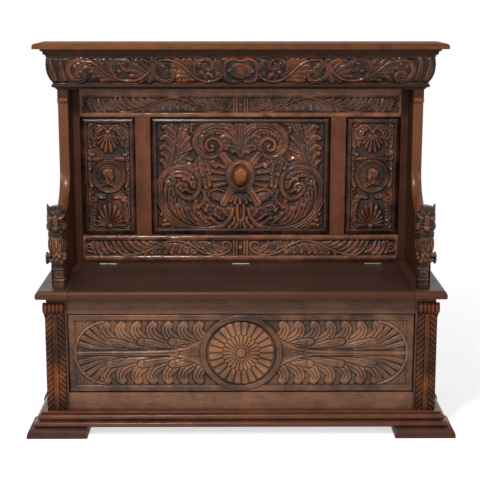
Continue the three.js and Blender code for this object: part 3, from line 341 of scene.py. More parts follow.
class Relief:
    """The heights of a carved face in millimetres, over lines across it and up it, also in millimetres."""

    def __init__(self, across, up, ground=0.0):
        self.x = np.asarray(across, float)
        self.z = np.asarray(up, float)
        self.h = np.full((self.z.size, self.x.size), float(ground))
        self.plain = np.zeros(self.h.shape)

    def grid(self):
        """The place of every height, across and up."""
        return np.meshgrid(self.x, self.z)

    def near(self, low, high):
        """The rows and columns of the grid between two corners, and the places in them."""
        columns = slice(*np.searchsorted(self.x, (low[0], high[0])))
        rows = slice(*np.searchsorted(self.z, (low[1], high[1])))
        return rows, columns, *np.meshgrid(self.x[columns], self.z[rows])

    def trace(self, path, widths, reach):
        """Round a path: which part of the grid, the signed share of the half width, the distance past the
        edge, and the share of the length."""
        rows, columns, x, z = self.near(path.min(0) - reach, path.max(0) + reach)
        step = np.diff(path, axis=0)
        length = np.maximum(np.hypot(*step.T), 1e-6)
        start = np.concatenate(([0.0], np.cumsum(length)))
        half = np.interp(start / start[-1], np.linspace(0, 1, len(widths)), widths)
        dx = x[..., None] - path[:-1, 0]
        dz = z[..., None] - path[:-1, 1]
        t = np.clip((dx * step[:, 0] + dz * step[:, 1]) / length ** 2, 0, 1)
        away = np.hypot(dx - t * step[:, 0], dz - t * step[:, 1])
        wide = half[:-1] + t * np.diff(half)
        u = away / wide
        nearest = u.argmin(-1)[..., None]
        pick = [np.take_along_axis(v, nearest, -1)[..., 0] for v in (u, away - wide, t)]
        side = np.sign(np.take_along_axis(dx * step[:, 1] - dz * step[:, 0], nearest, -1)[..., 0])
        nearest = nearest[..., 0]
        way = (start[nearest] + pick[2] * length[nearest]) / start[-1]
        return rows, columns, pick[0] * side, pick[1], way

    def stroke(self, points, widths, rise, ridges=1, gap=0.8, sunk=0.55, crest=0.0):
        """A leaf, stem or band along a smooth line, with its half widths and heights given at even steps of
        its length. One ridge has sloping flanks and may lie to one side; more have grooves between them."""
        widths = np.atleast_1d(widths)
        rows, columns, u, past, way = self.trace(curve(points), widths, widths.max() + gap + 1)
        top = np.interp(way, np.linspace(0, 1, np.size(rise)), np.atleast_1d(rise))
        if ridges == 1:
            flank = np.abs(u - crest) / np.where(u > crest, 1 - crest, 1 + crest)
            body = top * (1 - 0.72 * flank ** np.where(u > crest, 2.2, 1.1))
        else:
            groove = (0.5 + 0.5 * np.cos(math.pi * ridges * (u + 1))) ** 1.5
            body = top * (1 - 0.25 * u ** 2) * (1 - sunk * groove)
        self.raise_to(rows, columns, past, gap, top, body)

    def band(self, points, widths, rise, gap=1.4):
        """A strap or fillet with a nearly flat top."""
        widths = np.atleast_1d(widths)
        rows, columns, u, past, _ = self.trace(curve(points), widths, widths.max() + gap + 1)
        self.raise_to(rows, columns, past, gap, np.full(u.shape, float(rise)), rise * (1 - 0.3 * u ** 8))

    def leaf(self, points, half, rise, ridges=1, gap=0.8):
        """A leaf that grows from a thin stalk to a round swollen tip."""
        self.stroke(points, (0.65 * half, 1.3 * half, 1.25 * half), (0.65 * rise, 0.85 * rise, rise), ridges,
                    gap, crest=0.45)
        self.dome(points[-1], 1.15 * half, 1.05 * rise, gap=0)

    def feather(self, points, widths, rise, lobe):
        """A broad leaf whose edges are scalloped into lobes, with a crease from each notch to the middle."""
        path = curve(points)
        rows, columns, u, _, way = self.trace(path, np.asarray(widths, float), max(widths) + 1)
        length = np.hypot(*np.diff(path, axis=0).T).sum()
        u = np.abs(u)
        swell = np.abs(np.cos(math.pi * (way * length / lobe - 0.9 * u))) ** 0.6
        share = u / (0.72 + 0.28 * swell)
        self.lift(rows, columns, share <= 1, rise * (1 - 0.35 * share ** 3) * (0.5 + 0.5 * swell))

    def lift(self, rows, columns, inside, body):
        """Raises the wood to a body inside a shape, where it doesn't stand higher already."""
        here = self.h[rows, columns]
        here[inside] = np.maximum(here[inside], body[inside])

    def raise_to(self, rows, columns, past, gap, top, body):
        """Lifts the inside of a shape to its body, and lowers a narrow line just outside it."""
        here = self.h[rows, columns]
        beside = (past > 0) & (past < gap)
        here[beside] = np.minimum(here[beside], 0.2 * top[beside])
        self.lift(rows, columns, past <= 0, body)

    def fan(self, centre, radii, facing, spread, lobes, rise):
        """Lobes that open out from a hinge like a shell, rounded at their ends."""
        centre = np.asarray(centre, float)
        reach = max(radii) + 2
        rows, columns, x, z = self.near(centre - reach, centre + reach)
        turn = np.arctan2(x - centre[0], z - centre[1]) - facing
        turn = (turn + math.pi) % (2 * math.pi) - math.pi
        share = (turn + spread) / (2 * spread)
        ridge = 0.5 - 0.5 * np.cos(2 * math.pi * lobes * share)
        r = np.hypot((x - centre[0]) / radii[0], (z - centre[1]) / radii[1]) / (0.88 + 0.12 * np.sqrt(ridge))
        inside = (r <= 1) & (share >= 0) & (share <= 1)
        body = rise * (0.5 + 0.5 * np.sqrt(r)) * (0.35 + 0.65 * ridge ** 0.7) * (1 - 0.45 * r ** 10)
        self.lift(rows, columns, inside, body)

    def cut(self, points, width, depth):
        """A groove with sloped sides."""
        rows, columns, u, _, _ = self.trace(curve(points), np.atleast_1d(width), np.max(width) + 1)
        here = self.h[rows, columns]
        here -= depth * np.maximum(0, 1 - np.abs(u))
        np.maximum(here, 0, out=here)

    def punch(self, places, radius=1.6, depth=2.4):
        """Small round dents."""
        for place in places:
            rows, columns, x, z = self.near(np.subtract(place, radius), np.add(place, radius))
            away = np.hypot(x - place[0], z - place[1]) / radius
            self.h[rows, columns] -= depth * np.clip(1.4 - away, 0, 1)

    def dome(self, centre, radii, rise, power=2.0, gap=1.2):
        """A round or oval boss."""
        centre = np.asarray(centre, float)
        radii = np.asarray(radii, float) * np.ones(2)
        rows, columns, x, z = self.near(centre - radii - gap, centre + radii + gap)
        u = np.hypot((x - centre[0]) / radii[0], (z - centre[1]) / radii[1])
        here = self.h[rows, columns]
        beside = (u > 1) & (u < 1 + gap / radii.min())
        here[beside] = np.minimum(here[beside], 0.3 * rise)
        self.lift(rows, columns, u <= 1, rise * (0.3 + 0.7 * (1 - u ** power)))

    def fill(self, outline, rise, shoulder, floor_share=0.35):
        """A raised shape inside an outline, rounded over towards its edge."""
        path = curve(list(outline) + [outline[0]])
        rows, columns, _, past, _ = self.trace(path, np.array([0.01]), shoulder + 1)
        x, z = np.meshgrid(self.x[columns], self.z[rows])
        inside = np.zeros(x.shape, bool)
        for (ax, az), (bx, bz) in zip(path, path[1:]):
            if az != bz:
                inside ^= ((az > z) != (bz > z)) & (x < (bx - ax) * (z - az) / (bz - az) + ax)
        share = np.clip(past / shoulder, 0, 1)
        body = rise * (floor_share + (1 - floor_share) * np.sqrt(1 - (1 - share) ** 2))
        self.lift(rows, columns, inside, body)

    def mirror(self):
        """What is on one side is also on the other."""
        self.h = np.maximum(self.h, self.h[:, ::-1])

    def flatten(self, where, level, tone=0.5):
        """Plain wood, left uncarved, with one tone from dark, 0, to light, 1."""
        self.h = np.where(where, level, self.h)
        self.plain = np.where(where, tone, self.plain)

    def height(self, level):
        """The share of the full height, or the tone where the wood is plain."""
        return np.where(self.plain > 0, self.plain, np.clip(self.h / level, 0, 1.2))

    def hollow(self):
        """How far each place lies in a hollow, 0, or on a ridge, 1, beside its near and far surroundings."""
        # The carved oak paints low values dark, as shade in creases and hollows, and high values lighter, as
        # rubbed ridges.
        near = np.clip((self.h - smoothed(self.h, 5)) / 1.7, -0.5, 0.3)
        far = np.clip((self.h - smoothed(self.h, 40)) / 6.0, -0.5, 0.5)
        flat = 0.2 + 0.5 * self.plain + 0.4 * np.minimum(near, 0)
        return np.where(self.plain > 0, flat, 0.5 + 0.75 * near + 0.25 * far)


def even(low, high, pitch):
    """Lines at an even spacing close to a pitch, with one on each end."""
    return np.linspace(low, high, int(round((high - low) / pitch)) + 1)


def bent(foot, tip, across, up):
    """A leaf's line from its foot to its tip, with a bend at these shares of the way across and up."""
    return [foot, (foot[0] + across * (tip[0] - foot[0]), foot[1] + up * (tip[1] - foot[1])), tip]


def new_piece(name, corners, faces, smooth=None, **attributes):
    """A closed mesh with its faces turned outwards, and values kept at its points."""
    corners = np.asarray(corners, float)
    first, second, third, last = [corners[[face[k] for face in faces]] for k in (0, 1, 2, -1)]
    volume = np.einsum("ij,ij->", first, np.cross(second, third) + np.cross(third, last))
    if volume < 0:
        faces = [tuple(reversed(face)) for face in faces]
    mesh = bpy.data.meshes.new(name)
    mesh.from_pydata(corners.tolist(), [], faces)
    mesh.polygons.foreach_set("use_smooth", [True] * len(faces) if smooth is None else smooth)
    for key, values in attributes.items():
        mesh.attributes.new(key, "FLOAT", "POINT").data.foreach_set("value", np.asarray(values, np.float32))
    return put(name, mesh)


def carved_sheet(name, face, back, height, hollow):
    """A closed piece from a grid of points on its face, with the border of the grid again on its back."""
    rows, columns = face.shape[:2]
    total = rows * columns
    index = np.arange(total).reshape(rows, columns)
    quads = np.stack((index[:-1, :-1], index[:-1, 1:], index[1:, 1:], index[1:, :-1]), -1).reshape(-1, 4)
    border = np.concatenate((index[0, :-1], index[:-1, -1], index[-1, :0:-1], index[:0:-1, 0]))
    rim = back.reshape(-1, 3)[border]
    corners = np.vstack((face.reshape(-1, 3), rim, rim.mean(0)[None]))
    faces = [tuple(quad) for quad in quads.tolist()]
    smooth = [True] * len(faces)
    on_face, on_back = border.tolist(), range(total, total + len(border))
    turns = [(k, (k + 1) % len(border)) for k in range(len(border))]
    faces += [(on_face[n], on_face[k], on_back[k], on_back[n]) for k, n in turns]
    faces += [(on_back[n], on_back[k], total + len(border)) for k, n in turns]
    smooth += [False] * (len(faces) - len(smooth))
    extra = np.full(len(border) + 1, 0.5)
    return new_piece(name, corners, faces, smooth, relief=np.concatenate((height.ravel(), extra)),
                     hollow=np.concatenate((hollow.ravel(), extra)),
                     rear=np.concatenate((np.zeros(total), np.ones(extra.size))))


def carved_board(name, relief, front, rear, deepest):
    """A carved upright board: its ground lies at front, and its relief stands towards -Y from there."""
    x, z = relief.grid()
    face = np.stack((x, front - relief.h, z), -1) * MM
    back = np.stack((x, np.full(x.shape, rear), z), -1) * MM
    return carved_sheet(name, face, back, relief.height(deepest), relief.hollow())


height_weight, hollow_shade_weight, grain_weight, patina_weight = 0.16, 0.7, 0.16, 0.42
rear_patina = 0.3
tool_scale = 260.0


def carved_oak(name, along, stops, gloss=0.09, width=0.09, shine=0.34, shift=-0.2):
    """Carved oak: painted near black in the hollows as shade, and rubbed to orange brown on the high parts.
    """
    wood, tree, grain, _, inputs = start_wood(name, along, width)
    height, hollow, rear = [add(tree, "ShaderNodeAttribute", attribute_name=key).outputs["Fac"]
                            for key in ("relief", "hollow", "rear")]
    # The hollow value paints shade into the creases and hollows, and lightens the ridges as rubbed wear.
    low = calculate(tree, "MULTIPLY_ADD", height, height_weight, shift)
    ridge = calculate(tree, "MULTIPLY_ADD", hollow, hollow_shade_weight, low)
    veined = calculate(tree, "MULTIPLY_ADD", grain["Tone"], grain_weight, ridge)
    less = calculate(tree, "SUBTRACT", rear_patina, grain["Patina"])
    patina = calculate(tree, "MULTIPLY_ADD", rear, less, grain["Patina"])
    shade_and_wear = calculate(tree, "MULTIPLY_ADD", patina, patina_weight, veined)
    ramp = add(tree, "ShaderNodeValToRGB", {0: shade_and_wear})
    scale = ramp.color_ramp
    for position, _ in stops[2:]:
        scale.elements.new(position)
    for element, (position, colour) in zip(scale.elements, stops):
        element.position = position
        element.color = colour
    body = blend_colours(tree, calculate(tree, "MULTIPLY", grain["Pores"], 0.35), ramp.outputs["Color"],
                         scaled(stops[1][1], 0.3, 0.3, 0.3))
    rough = spread(tree, shade_and_wear, 0.2, 0.8, gloss + 0.2, gloss)
    tool_marks = noise(tree, tree.nodes["Texture Coordinate"].outputs["Object"], tool_scale, 3.0)
    raised = calculate(tree, "SUBTRACT", tool_marks, grain["Pores"])
    finish_wood(tree, inputs, body, rough, shine, raised, 0.25, 0.0008)
    return wood


def stand_for(piece, slot, wood, *nodes, body="root"):
    """A finished piece: its material, the body that it belongs to, and what it replaces. The slot is not
    used.
    """
    piece.data.materials.clear()
    piece.data.materials.append(wood)
    for face in piece.data.polygons:
        face.material_index = 0
    if nodes:
        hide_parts(*nodes)
    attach(piece, body)


def extent(node):
    """The lowest and highest corner of a node of the frame, in millimetres, to the nearest micrometre."""
    return [[round(value / MM, 3) for value in corner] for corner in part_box(node)]


def sided(points, sign):
    """Points, also those of the mirror image where the sign is -1."""
    return [(sign * x, z) for x, z in points]


clearance = 0.3
chest_low, chest_high = extent("front_panel")
chest_half = extent("post_front_right")[0][0] - clearance
chest_margin, chest_border = 3.0, 23.0
chest_middle = (chest_low[2] + chest_high[2]) / 2
chest_tall = (extent("front_top_rail")[0][2] - extent("front_bottom_rail")[1][2]) / 2 - clearance
chest_level = 8.0
chest_sunk = 10.0
chest_ground = extent("front_top_rail")[0][1] + chest_sunk
chest_pitch = 1.8
chest = Relief(even(-chest_half, chest_half, chest_pitch), even(-chest_tall, chest_tall, chest_pitch))
for side in (1, -1):
    for index in range(7):
        tip = -441 + index * 51
        chest.stroke([(tip - 27, side * 101), (tip - 30, side * 84), (tip - 14, side * 57),
                      (tip + 30, side * 36), (tip + 92, side * 23)],
                     (9.0, 11.5, 12.5, 9.0, 3.0), (4.6, 5.4, 5.6, 5.2, 4.0), ridges=3, gap=0)
        chest.stroke([(tip - 1, side * 94), (tip - 8, side * 79), (tip + 6, side * 55),
                      (tip + 44, side * 36), (tip + 106, side * 24)],
                     (15.0, 18.0, 17.0, 12.0, 4.0), (8.4, 8.4, 7.8, 6.6, 4.8), ridges=3, gap=1.8,
                     sunk=0.38)
        chest.dome((tip - 1, side * 95), (15.5, 11.5), 8.5, power=4, gap=0)
    for tip in (-438, -334, -232):
        chest.stroke([(tip + 6, side * 38), (tip + 34, side * 34), (tip + 74, side * 26),
                      (tip + 130, side * 20)],
                     (13.5, 12.5, 9.0, 4.0), (8.6, 8.4, 7.8, 6.4), ridges=3, gap=2.0, sunk=0.4)
        chest.dome((tip + 6, side * 38), (13.0, 12.5), 8.8, power=3, gap=1.0)
    for end_x, end_z, wide in ((-462, 97, 8.0), (-486, 90, 8.6), (-506, 74, 8.8), (-521, 54, 8.8),
                               (-530, 31, 8.4)):
        chest.stroke([(-372, side * 12), (-404, side * (10 + 0.2 * end_z)),
                      (0.5 * (end_x - 410), side * 0.55 * end_z), (end_x, side * end_z)],
                     (3.0, 4.4, 6.4, wide), (5.5, 6.4, 7.4, 7.8), ridges=2, gap=0.8)
    for x0, reach in ((-395, 34), (-280, 36), (-180, 26)):
        chest.cut([(x0 - reach / 2, side * 15), (x0, side * 17), (x0 + reach / 2, side * 15)],
                  (2.2, 3.4, 2.2), 7.0)
    chest.stroke([(-232, side * 8), (-180, side * 15), (-128, side * 38)], (4.5, 6.5, 7.5), 7.6, gap=1.6)
    chest.cut([(-204, side * 25), (-166, side * 32)], (2.4, 3.2), 6.0)
chest.stroke([(-540, -2), (-430, -2), (-310, -2), (-214, 0)], (6.0, 7.0, 8.0, 10.0), (6.5, 6.8, 7.0, 7.2),
             ridges=2, gap=1.4)
# An arc with punched corners outside it at each end, and a punched wedge on each side of the roundel
arc_centre, arc_radius = -438.0, 106.5
arc_turns = np.linspace(0.1, 3.04, 16)
arc = [(arc_centre - arc_radius * math.sin(a), arc_radius * math.cos(a)) for a in arc_turns]
chest.band(arc, (4.0,), 7.6)
wedge_tip, wedge_slope = -205.0, 0.45
x, z = chest.grid()
corner = (x < arc_centre) & (np.hypot(x - arc_centre, z) > arc_radius + 5)
beside_roundel = (x < -110) & (np.abs(z) < wedge_slope * (x - wedge_tip))
chest.h = np.maximum(chest.h, np.where(corner | beside_roundel, 4.5, 1.6))
corner_dots = [(-540, 104), (-530, 104), (-520, 104), (-510, 104), (-540, 95), (-530, 95), (-520, 96),
               (-540, 86), (-531, 86), (-540, 77)]
wedge_dots = [(x0, z0) for x0 in range(-188, -132, 8) for z0 in range(-24, 25, 8)
              if abs(z0) < 0.42 * (x0 - wedge_tip) - 6]
chest.punch(sided(corner_dots, 1) + sided([(x0, -z0) for x0, z0 in corner_dots], 1) + wedge_dots, 2.4, 3.0)
chest.mirror()
from_edge = np.minimum(chest_half - np.abs(x), chest_tall - np.abs(z))
chest.flatten(from_edge < chest_border, chest_level)
chest.h[from_edge < chest_margin] = 2.0
# The roundel's rim round its sunk dish
roundel_across, roundel_up, roundel_rim = 135.0, 127.6, 19.0
away = np.hypot(x / roundel_across, z / roundel_up) * roundel_across
inner = roundel_across - roundel_rim
chest.h = np.where((away > roundel_across) & (away < roundel_across + 2.0), np.minimum(chest.h, 4.0), chest.h)
chest.flatten((away < roundel_across) & (from_edge > 1.5), chest_level + 1.6)
chest.plain[away < inner] = 0.0
chest.h = np.where(away < inner, 2.0, chest.h)
chest.h = smoothed(chest.h, 1)
chest.z = chest.z + chest_middle
carving_stops = [(0.18, stain(14, 7, 4)), (0.36, stain(45, 24, 13)), (0.54, stain(79, 42, 23)),
                 (0.76, stain(116, 62, 31)), (1.0, stain(152, 88, 48))]
chest_stops = [(0.18, stain(30, 19, 13)), (0.36, stain(66, 43, 30)), (0.54, stain(98, 66, 46)),
               (0.76, stain(128, 84, 55)), (1.0, stain(158, 108, 72))]
chest_carving = carved_oak("oak_carved_chest", "x", chest_stops, gloss=0.2, shine=0.28, shift=-0.15)
roundel_oak = carved_oak("oak_roundel", "x", chest_stops, gloss=0.28, shine=0.32, shift=-0.03)
chest_panel = carved_board("carved_chest_panel", chest, chest_ground, chest_high[1], chest_level)
stand_for(chest_panel, "carved_oak", chest_carving, "front_panel")

# Roundel: two rings of raised petals about a turned boss, each petal cut from the solid and rounded at its
# outer end. They are laid round the centre one by one.


def new_tree(name, takes):
    """An empty Geometry Nodes group with named inputs and one geometry output."""
    tree = bpy.data.node_groups.new(name, "GeometryNodeTree")
    keys = {}
    tree.interface.new_socket(name="Geometry", in_out="INPUT", socket_type="NodeSocketGeometry")
    for socket_name, kind in takes:
        socket = tree.interface.new_socket(name=socket_name, in_out="INPUT", socket_type=kind)
        keys[socket_name] = socket.identifier
    tree.interface.new_socket(name="Geometry", in_out="OUTPUT", socket_type="NodeSocketGeometry")
    return tree, keys, add(tree, "NodeGroupInput").outputs, add(tree, "NodeGroupOutput").inputs


round_tree, round_keys, taken, given = new_tree("laid_round_an_oval", [
    ("Unit", "NodeSocketObject"), ("Count", "NodeSocketInt"), ("Half Across", "NodeSocketFloat"),
    ("Half Up", "NodeSocketFloat"), ("Centre", "NodeSocketVector"), ("Start", "NodeSocketFloat"),
    ("Material", "NodeSocketMaterial")])
share = calculate(round_tree, "DIVIDE", 2 * math.pi, taken["Count"])
number = add(round_tree, "GeometryNodeInputIndex")
turned_by = calculate(round_tree, "MULTIPLY_ADD", number.outputs[0], share, taken["Start"])
out_x = calculate(round_tree, "MULTIPLY", calculate(round_tree, "SINE", turned_by), taken["Half Across"])
out_z = calculate(round_tree, "MULTIPLY", calculate(round_tree, "COSINE", turned_by), taken["Half Up"])
spot = add(round_tree, "ShaderNodeCombineXYZ", {"X": out_x, "Z": out_z})
placed = add(round_tree, "ShaderNodeVectorMath", {0: spot.outputs[0], 1: taken["Centre"]}, operation="ADD")
dots = add(round_tree, "GeometryNodePoints", {"Count": taken["Count"], "Position": placed.outputs[0]})
unit = add(round_tree, "GeometryNodeObjectInfo", {"Object": taken["Unit"]}, transform_space="ORIGINAL")
facing_out = add(round_tree, "ShaderNodeCombineXYZ", {"Y": turned_by})
copies = add(round_tree, "GeometryNodeInstanceOnPoints", {
    "Points": dots.outputs[0], "Instance": unit.outputs["Geometry"], "Rotation": facing_out.outputs[0]})
joined = add(round_tree, "GeometryNodeRealizeInstances", {0: copies.outputs[0]})
finished = add(round_tree, "GeometryNodeSetMaterial", {
    "Geometry": joined.outputs[0], "Material": taken["Material"]})
round_tree.links.new(finished.outputs[0], given[0])


def grown(name, tree, keys, values):
    """The plain mesh that a Geometry Nodes tree makes with these values."""
    seed = put(name + "_seed", bpy.data.meshes.new(name + "_seed"))
    maker = seed.modifiers.new("maker", "NODES")
    maker.node_group = tree
    for key, value in values.items():
        maker[keys[key]] = value
    bpy.context.view_layer.update()
    evaluated = seed.evaluated_get(bpy.context.evaluated_depsgraph_get())
    mesh = bpy.data.meshes.new_from_object(evaluated)
    mesh.name = name
    seed.modifiers.remove(maker)
    bpy.data.objects.remove(seed)
    return put(name, mesh)


def petal(name, inner, outer, wedge, gap, rise, dish):
    """One petal that points up: a wedge with a rounded outer end, hollowed along its middle."""
    lengths, widths = 14, 8
    t, v = np.meshgrid(np.linspace(0, 1, lengths + 1), np.linspace(-1, 1, widths + 1))
    radius = inner + t * (outer - inner)
    end = np.sqrt(1 - np.clip((t - 0.86) / 0.1401, 0, 1) ** 2)
    half = (radius * math.tan(wedge / 2) - gap / 2) * (0.08 + 0.92 * end)
    body = rise * (1 - 0.42 * np.abs(v) ** 4) * (1 - 0.35 * np.clip((t - 0.86) / 0.14, 0, 1) ** 2)
    body = body - dish * np.sin(np.pi * t) * (1 - v ** 2)
    face = np.stack((half * v, -body, radius), -1) * MM
    foot = np.stack((half * v, np.zeros(v.shape), radius), -1) * MM
    # The petal's sides get a lower hollow value, painted darker as shade in the gaps between petals.
    return carved_sheet(name, face, foot, np.clip(body / rise, 0, 1), 0.42 + 0.25 * (1 - v ** 2))


petal_count = 24
petal_wedge = 2 * math.pi / petal_count
dish_floor = chest_ground - 3.0
outer_petal = petal("outer_petal", 61.0, 107.0, petal_wedge, gap=3.0, rise=5.4, dish=1.2)
inner_petal = petal("inner_petal", 26.0, 62.0, petal_wedge, gap=1.5, rise=6.4, dish=1.0)
for ring_name, unit_petal, start in (("roundel_outer_petals", outer_petal, 0.5 * petal_wedge),
                                     ("roundel_inner_petals", inner_petal, 0.0)):
    petals = grown(ring_name, round_tree, round_keys, {
        "Unit": unit_petal, "Count": petal_count, "Half Across": 0.0, "Half Up": 0.0,
        "Centre": (0.0, dish_floor * MM, chest_middle * MM), "Start": start, "Material": roundel_oak})
    stand_for(petals, "carved_oak", roundel_oak)
    bpy.data.objects.remove(unit_petal)


def closed_column(rings):
    """Corners and faces of a closed body from rings of points, listed from one end to the other."""
    count, steps = rings.shape[:2]
    corners = np.vstack((rings.reshape(-1, 3), rings[0].mean(0)[None], rings[-1].mean(0)[None]))
    last, first_end, last_end = (count - 1) * steps, count * steps, count * steps + 1
    faces = []
    for k in range(steps):
        n = (k + 1) % steps
        faces += [(low + k, low + n, low + steps + n, low + steps + k) for low in range(0, last, steps)]
        faces += [(n, k, first_end), (last + k, last + n, last_end)]
    return corners, faces


def turned_boss(name, profile, centre, across=1.0, up=1.0, steps=64, sunk=()):
    """A boss turned about an axis along Y, and drawn out to an oval: its profile gives radius and reach,
    and the rings of it that lie in a groove are named by number."""
    turn = np.linspace(0, 2 * math.pi, steps, endpoint=False)
    radius, reach = np.array(profile).T[..., None]
    rings = np.stack((centre[0] + radius * across * np.sin(turn), centre[1] - reach + 0 * turn,
                      centre[2] + radius * up * np.cos(turn)), -1)
    corners, faces = closed_column(rings)
    heights = [*np.repeat(reach / reach.max(), steps), 0.4, 1.0]
    # Rings in a groove get a hollow value of 0, painted near black as shade in the groove.
    ridges = [*np.repeat([0.0 if ring in sunk else 0.6 for ring in range(len(profile))], steps), 0.6, 0.6]
    return new_piece(name, corners * MM, faces, relief=heights, hollow=ridges)


hub_profile = [(24.5, 0.0), (25.0, 6.4), (24.0, 7.6), (21.0, 7.8), (19.6, 6.6), (19.2, 3.4), (17.4, 3.2)] + [
    (16.6 * math.cos(a), 3.2 + 6.8 * math.sin(a)) for a in np.linspace(0.1, math.pi / 2 - 0.06, 8)]
hub = turned_boss("roundel_hub", hub_profile, (0.0, dish_floor, chest_middle), sunk=(5, 6))
stand_for(hub, "carved_oak", roundel_oak)

# Consoles: an S-shaped bracket planted on each corner post, rolled over at the top. Its face is carved with
# a plain round band between two rows of leaves that slant downwards and outwards, and its roll with flutes.
console_low, console_high = extent("console_right")
console_middle = (console_low[0] + console_high[0]) / 2
console_foot, console_rear = console_low[2], console_high[1]
console_roll = 34.0
console_neck = 18.0
console_depth = console_rear - console_low[1]
console_hollow = 6.0
console_half = (console_high[0] - console_low[0]) / 2
console_tall = console_high[2] - console_foot - console_neck
roll_start = console_tall - console_roll
bracket = Relief(even(-console_half, console_half, 1.25), even(0.0, console_tall, 1.4))
leaf_count = 17
leaf_rise = (roll_start - 14) / leaf_count
for index in range(-1, leaf_count):
    z0 = 6 + index * leaf_rise
    bracket.stroke([(-4, z0 + 29), (-16, z0 + 17), (-31, z0 + 3)], (5.4, 7.4, 6.4), (2.8, 3.6, 3.4), gap=1.0)
bracket.band([(0, 0), (0, roll_start - 3)], (8.0,), 5.0)
bracket.h[bracket.z > roll_start - 3] = 0.0
for x0 in (-26, -13, 0):
    bracket.stroke([(x0, roll_start + 2), (x0, console_tall)], (6.2,), 4.6, gap=1.0)
bracket.mirror()
bracket.h = smoothed(bracket.h, 1)
x, z = bracket.grid()
lower = console_depth - 5.2 - console_hollow * np.sin(np.clip(z / roll_start, 0, 1) * math.pi / 2) ** 2
roll_share = np.clip((z - roll_start) / console_roll, 0, 1)
roll_out = console_depth - 2.4 - 8.0 * np.abs(2 * roll_share - 1) ** 3.0
reach = np.where(z < roll_start, lower + bracket.h, roll_out + 0.5 * bracket.h)
reach = np.where((z >= roll_start - 3.0) & (z < roll_start + 1.5), 7.0, reach)
taper = np.where(z < roll_start, 6.0, 0.0)
wide = (x / console_half) * (console_half - taper / 2) - taper / 2
console_oak = carved_oak("oak_carved_console", "z", carving_stops, gloss=0.3, shine=0.13, shift=-0.23)
for side_name, side in sides.items():
    place_x = side * (console_middle + wide)
    face = np.stack((place_x, console_rear - reach, z + console_foot), -1) * MM
    back = np.stack((place_x, np.full(x.shape, console_rear), z + console_foot), -1) * MM
    console = carved_sheet(f"carved_console_{side_name}", face, back, bracket.height(4.6), bracket.hollow())
    stand_for(console, "carved_oak", console_oak, f"console_{side_name}")

# Seat: a hinged lid of wide boards between two fixed ends and a fixed strip at the back. It is the darkest
# and most handled wood, with a rounded nosing at the front that is rubbed to a warm brown.
seat_front = extent("seat_lid")[0][1]
nosing_start, nosing_full = 15.0, 5.0
nosing_share = 0.6
nosing_brown = stain(91, 46, 24)


def rub_front(wood):
    """Lets the rubbed brown of the nosing come over a board's own colour along its front edge."""
    tree = wood.node_tree
    body = tree.nodes["Principled BSDF"].inputs["Base Color"]
    place = add(tree, "ShaderNodeSeparateXYZ", {0: tree.nodes["Texture Coordinate"].outputs["Object"]})
    front = spread(tree, place.outputs["Y"], (seat_front + nosing_start) * MM,
                   (seat_front + nosing_full) * MM, 0.0, nosing_share)
    rubbed = blend_colours(tree, front, body.links[0].from_socket, nosing_brown)
    tree.links.new(rubbed, body)


seat_oak = plain_oak("oak_seat", "x", stain(46, 29, 24), stain(68, 46, 39), stain(120, 72, 50), width=0.16,
                     gloss=0.3, wear_share=0.6, patina_share=0.25)
rub_front(seat_oak)
dress(["seat_lid", "seat_back_rail"], seat_oak)
seat_end_oak = plain_oak("oak_seat_end", "y", stain(52, 34, 27), stain(82, 56, 46), stain(120, 74, 52),
                         width=0.12, gloss=0.32)
rub_front(seat_end_oak)
dress(pair("seat_end"), seat_end_oak)

# Hinges: three steel butt hinges let into the joint behind the lid, worn bright, with pins that turn in
# five knuckles.
steel, steel_tree = new_material("worn_steel")
steel_where = add(steel_tree, "ShaderNodeTexCoord").outputs["Object"]
steel_wear = noise(steel_tree, steel_where, 180.0, 5.0, 0.65)
tarnish = spread(steel_tree, steel_wear, 0.35, 0.7)
steel_bump = add(steel_tree, "ShaderNodeBump", {"Height": steel_wear, "Strength": 0.2, "Distance": 0.0003})
steel_shader = add(steel_tree, "ShaderNodeBsdfPrincipled", {
    "Base Color": blend_colours(steel_tree, tarnish, stain(150, 148, 142), stain(96, 88, 78)),
    "Metallic": 1.0, "Roughness": spread(steel_tree, tarnish, 0.0, 1.0, 0.36, 0.6),
    "Normal": steel_bump.outputs[0]})
add(steel_tree, "ShaderNodeOutputMaterial", {"Surface": steel_shader.outputs[0]})
hinge_parts = [f"hinge_{part}_{place}" for part in ("fixed_leaf", "lid_leaf", "pin")
               for place in ("left", "middle", "right")]
dress(hinge_parts, steel, 0.0003)

# Back frame: two stiles and two muntins of plain oak, with the grain upright, the stiles painted darker as
# shade in the corner by the wings. The rails between them carry a sunk strip of carving.
# The back frame's edges are given a darker colour.
dark_edge_colour = stain(46, 26, 20)
# The back stiles' darker stain is painted shade, for the corner by the wings.
for node, dark, light in (("muntin", stain(66, 37, 27), stain(110, 66, 47)),
                          ("back_stile", stain(44, 25, 18), stain(78, 46, 33))):
    dress(pair(node), plain_oak(f"oak_{node}", "z", dark, light, dark_edge_colour, width=0.07, reach=0.008))


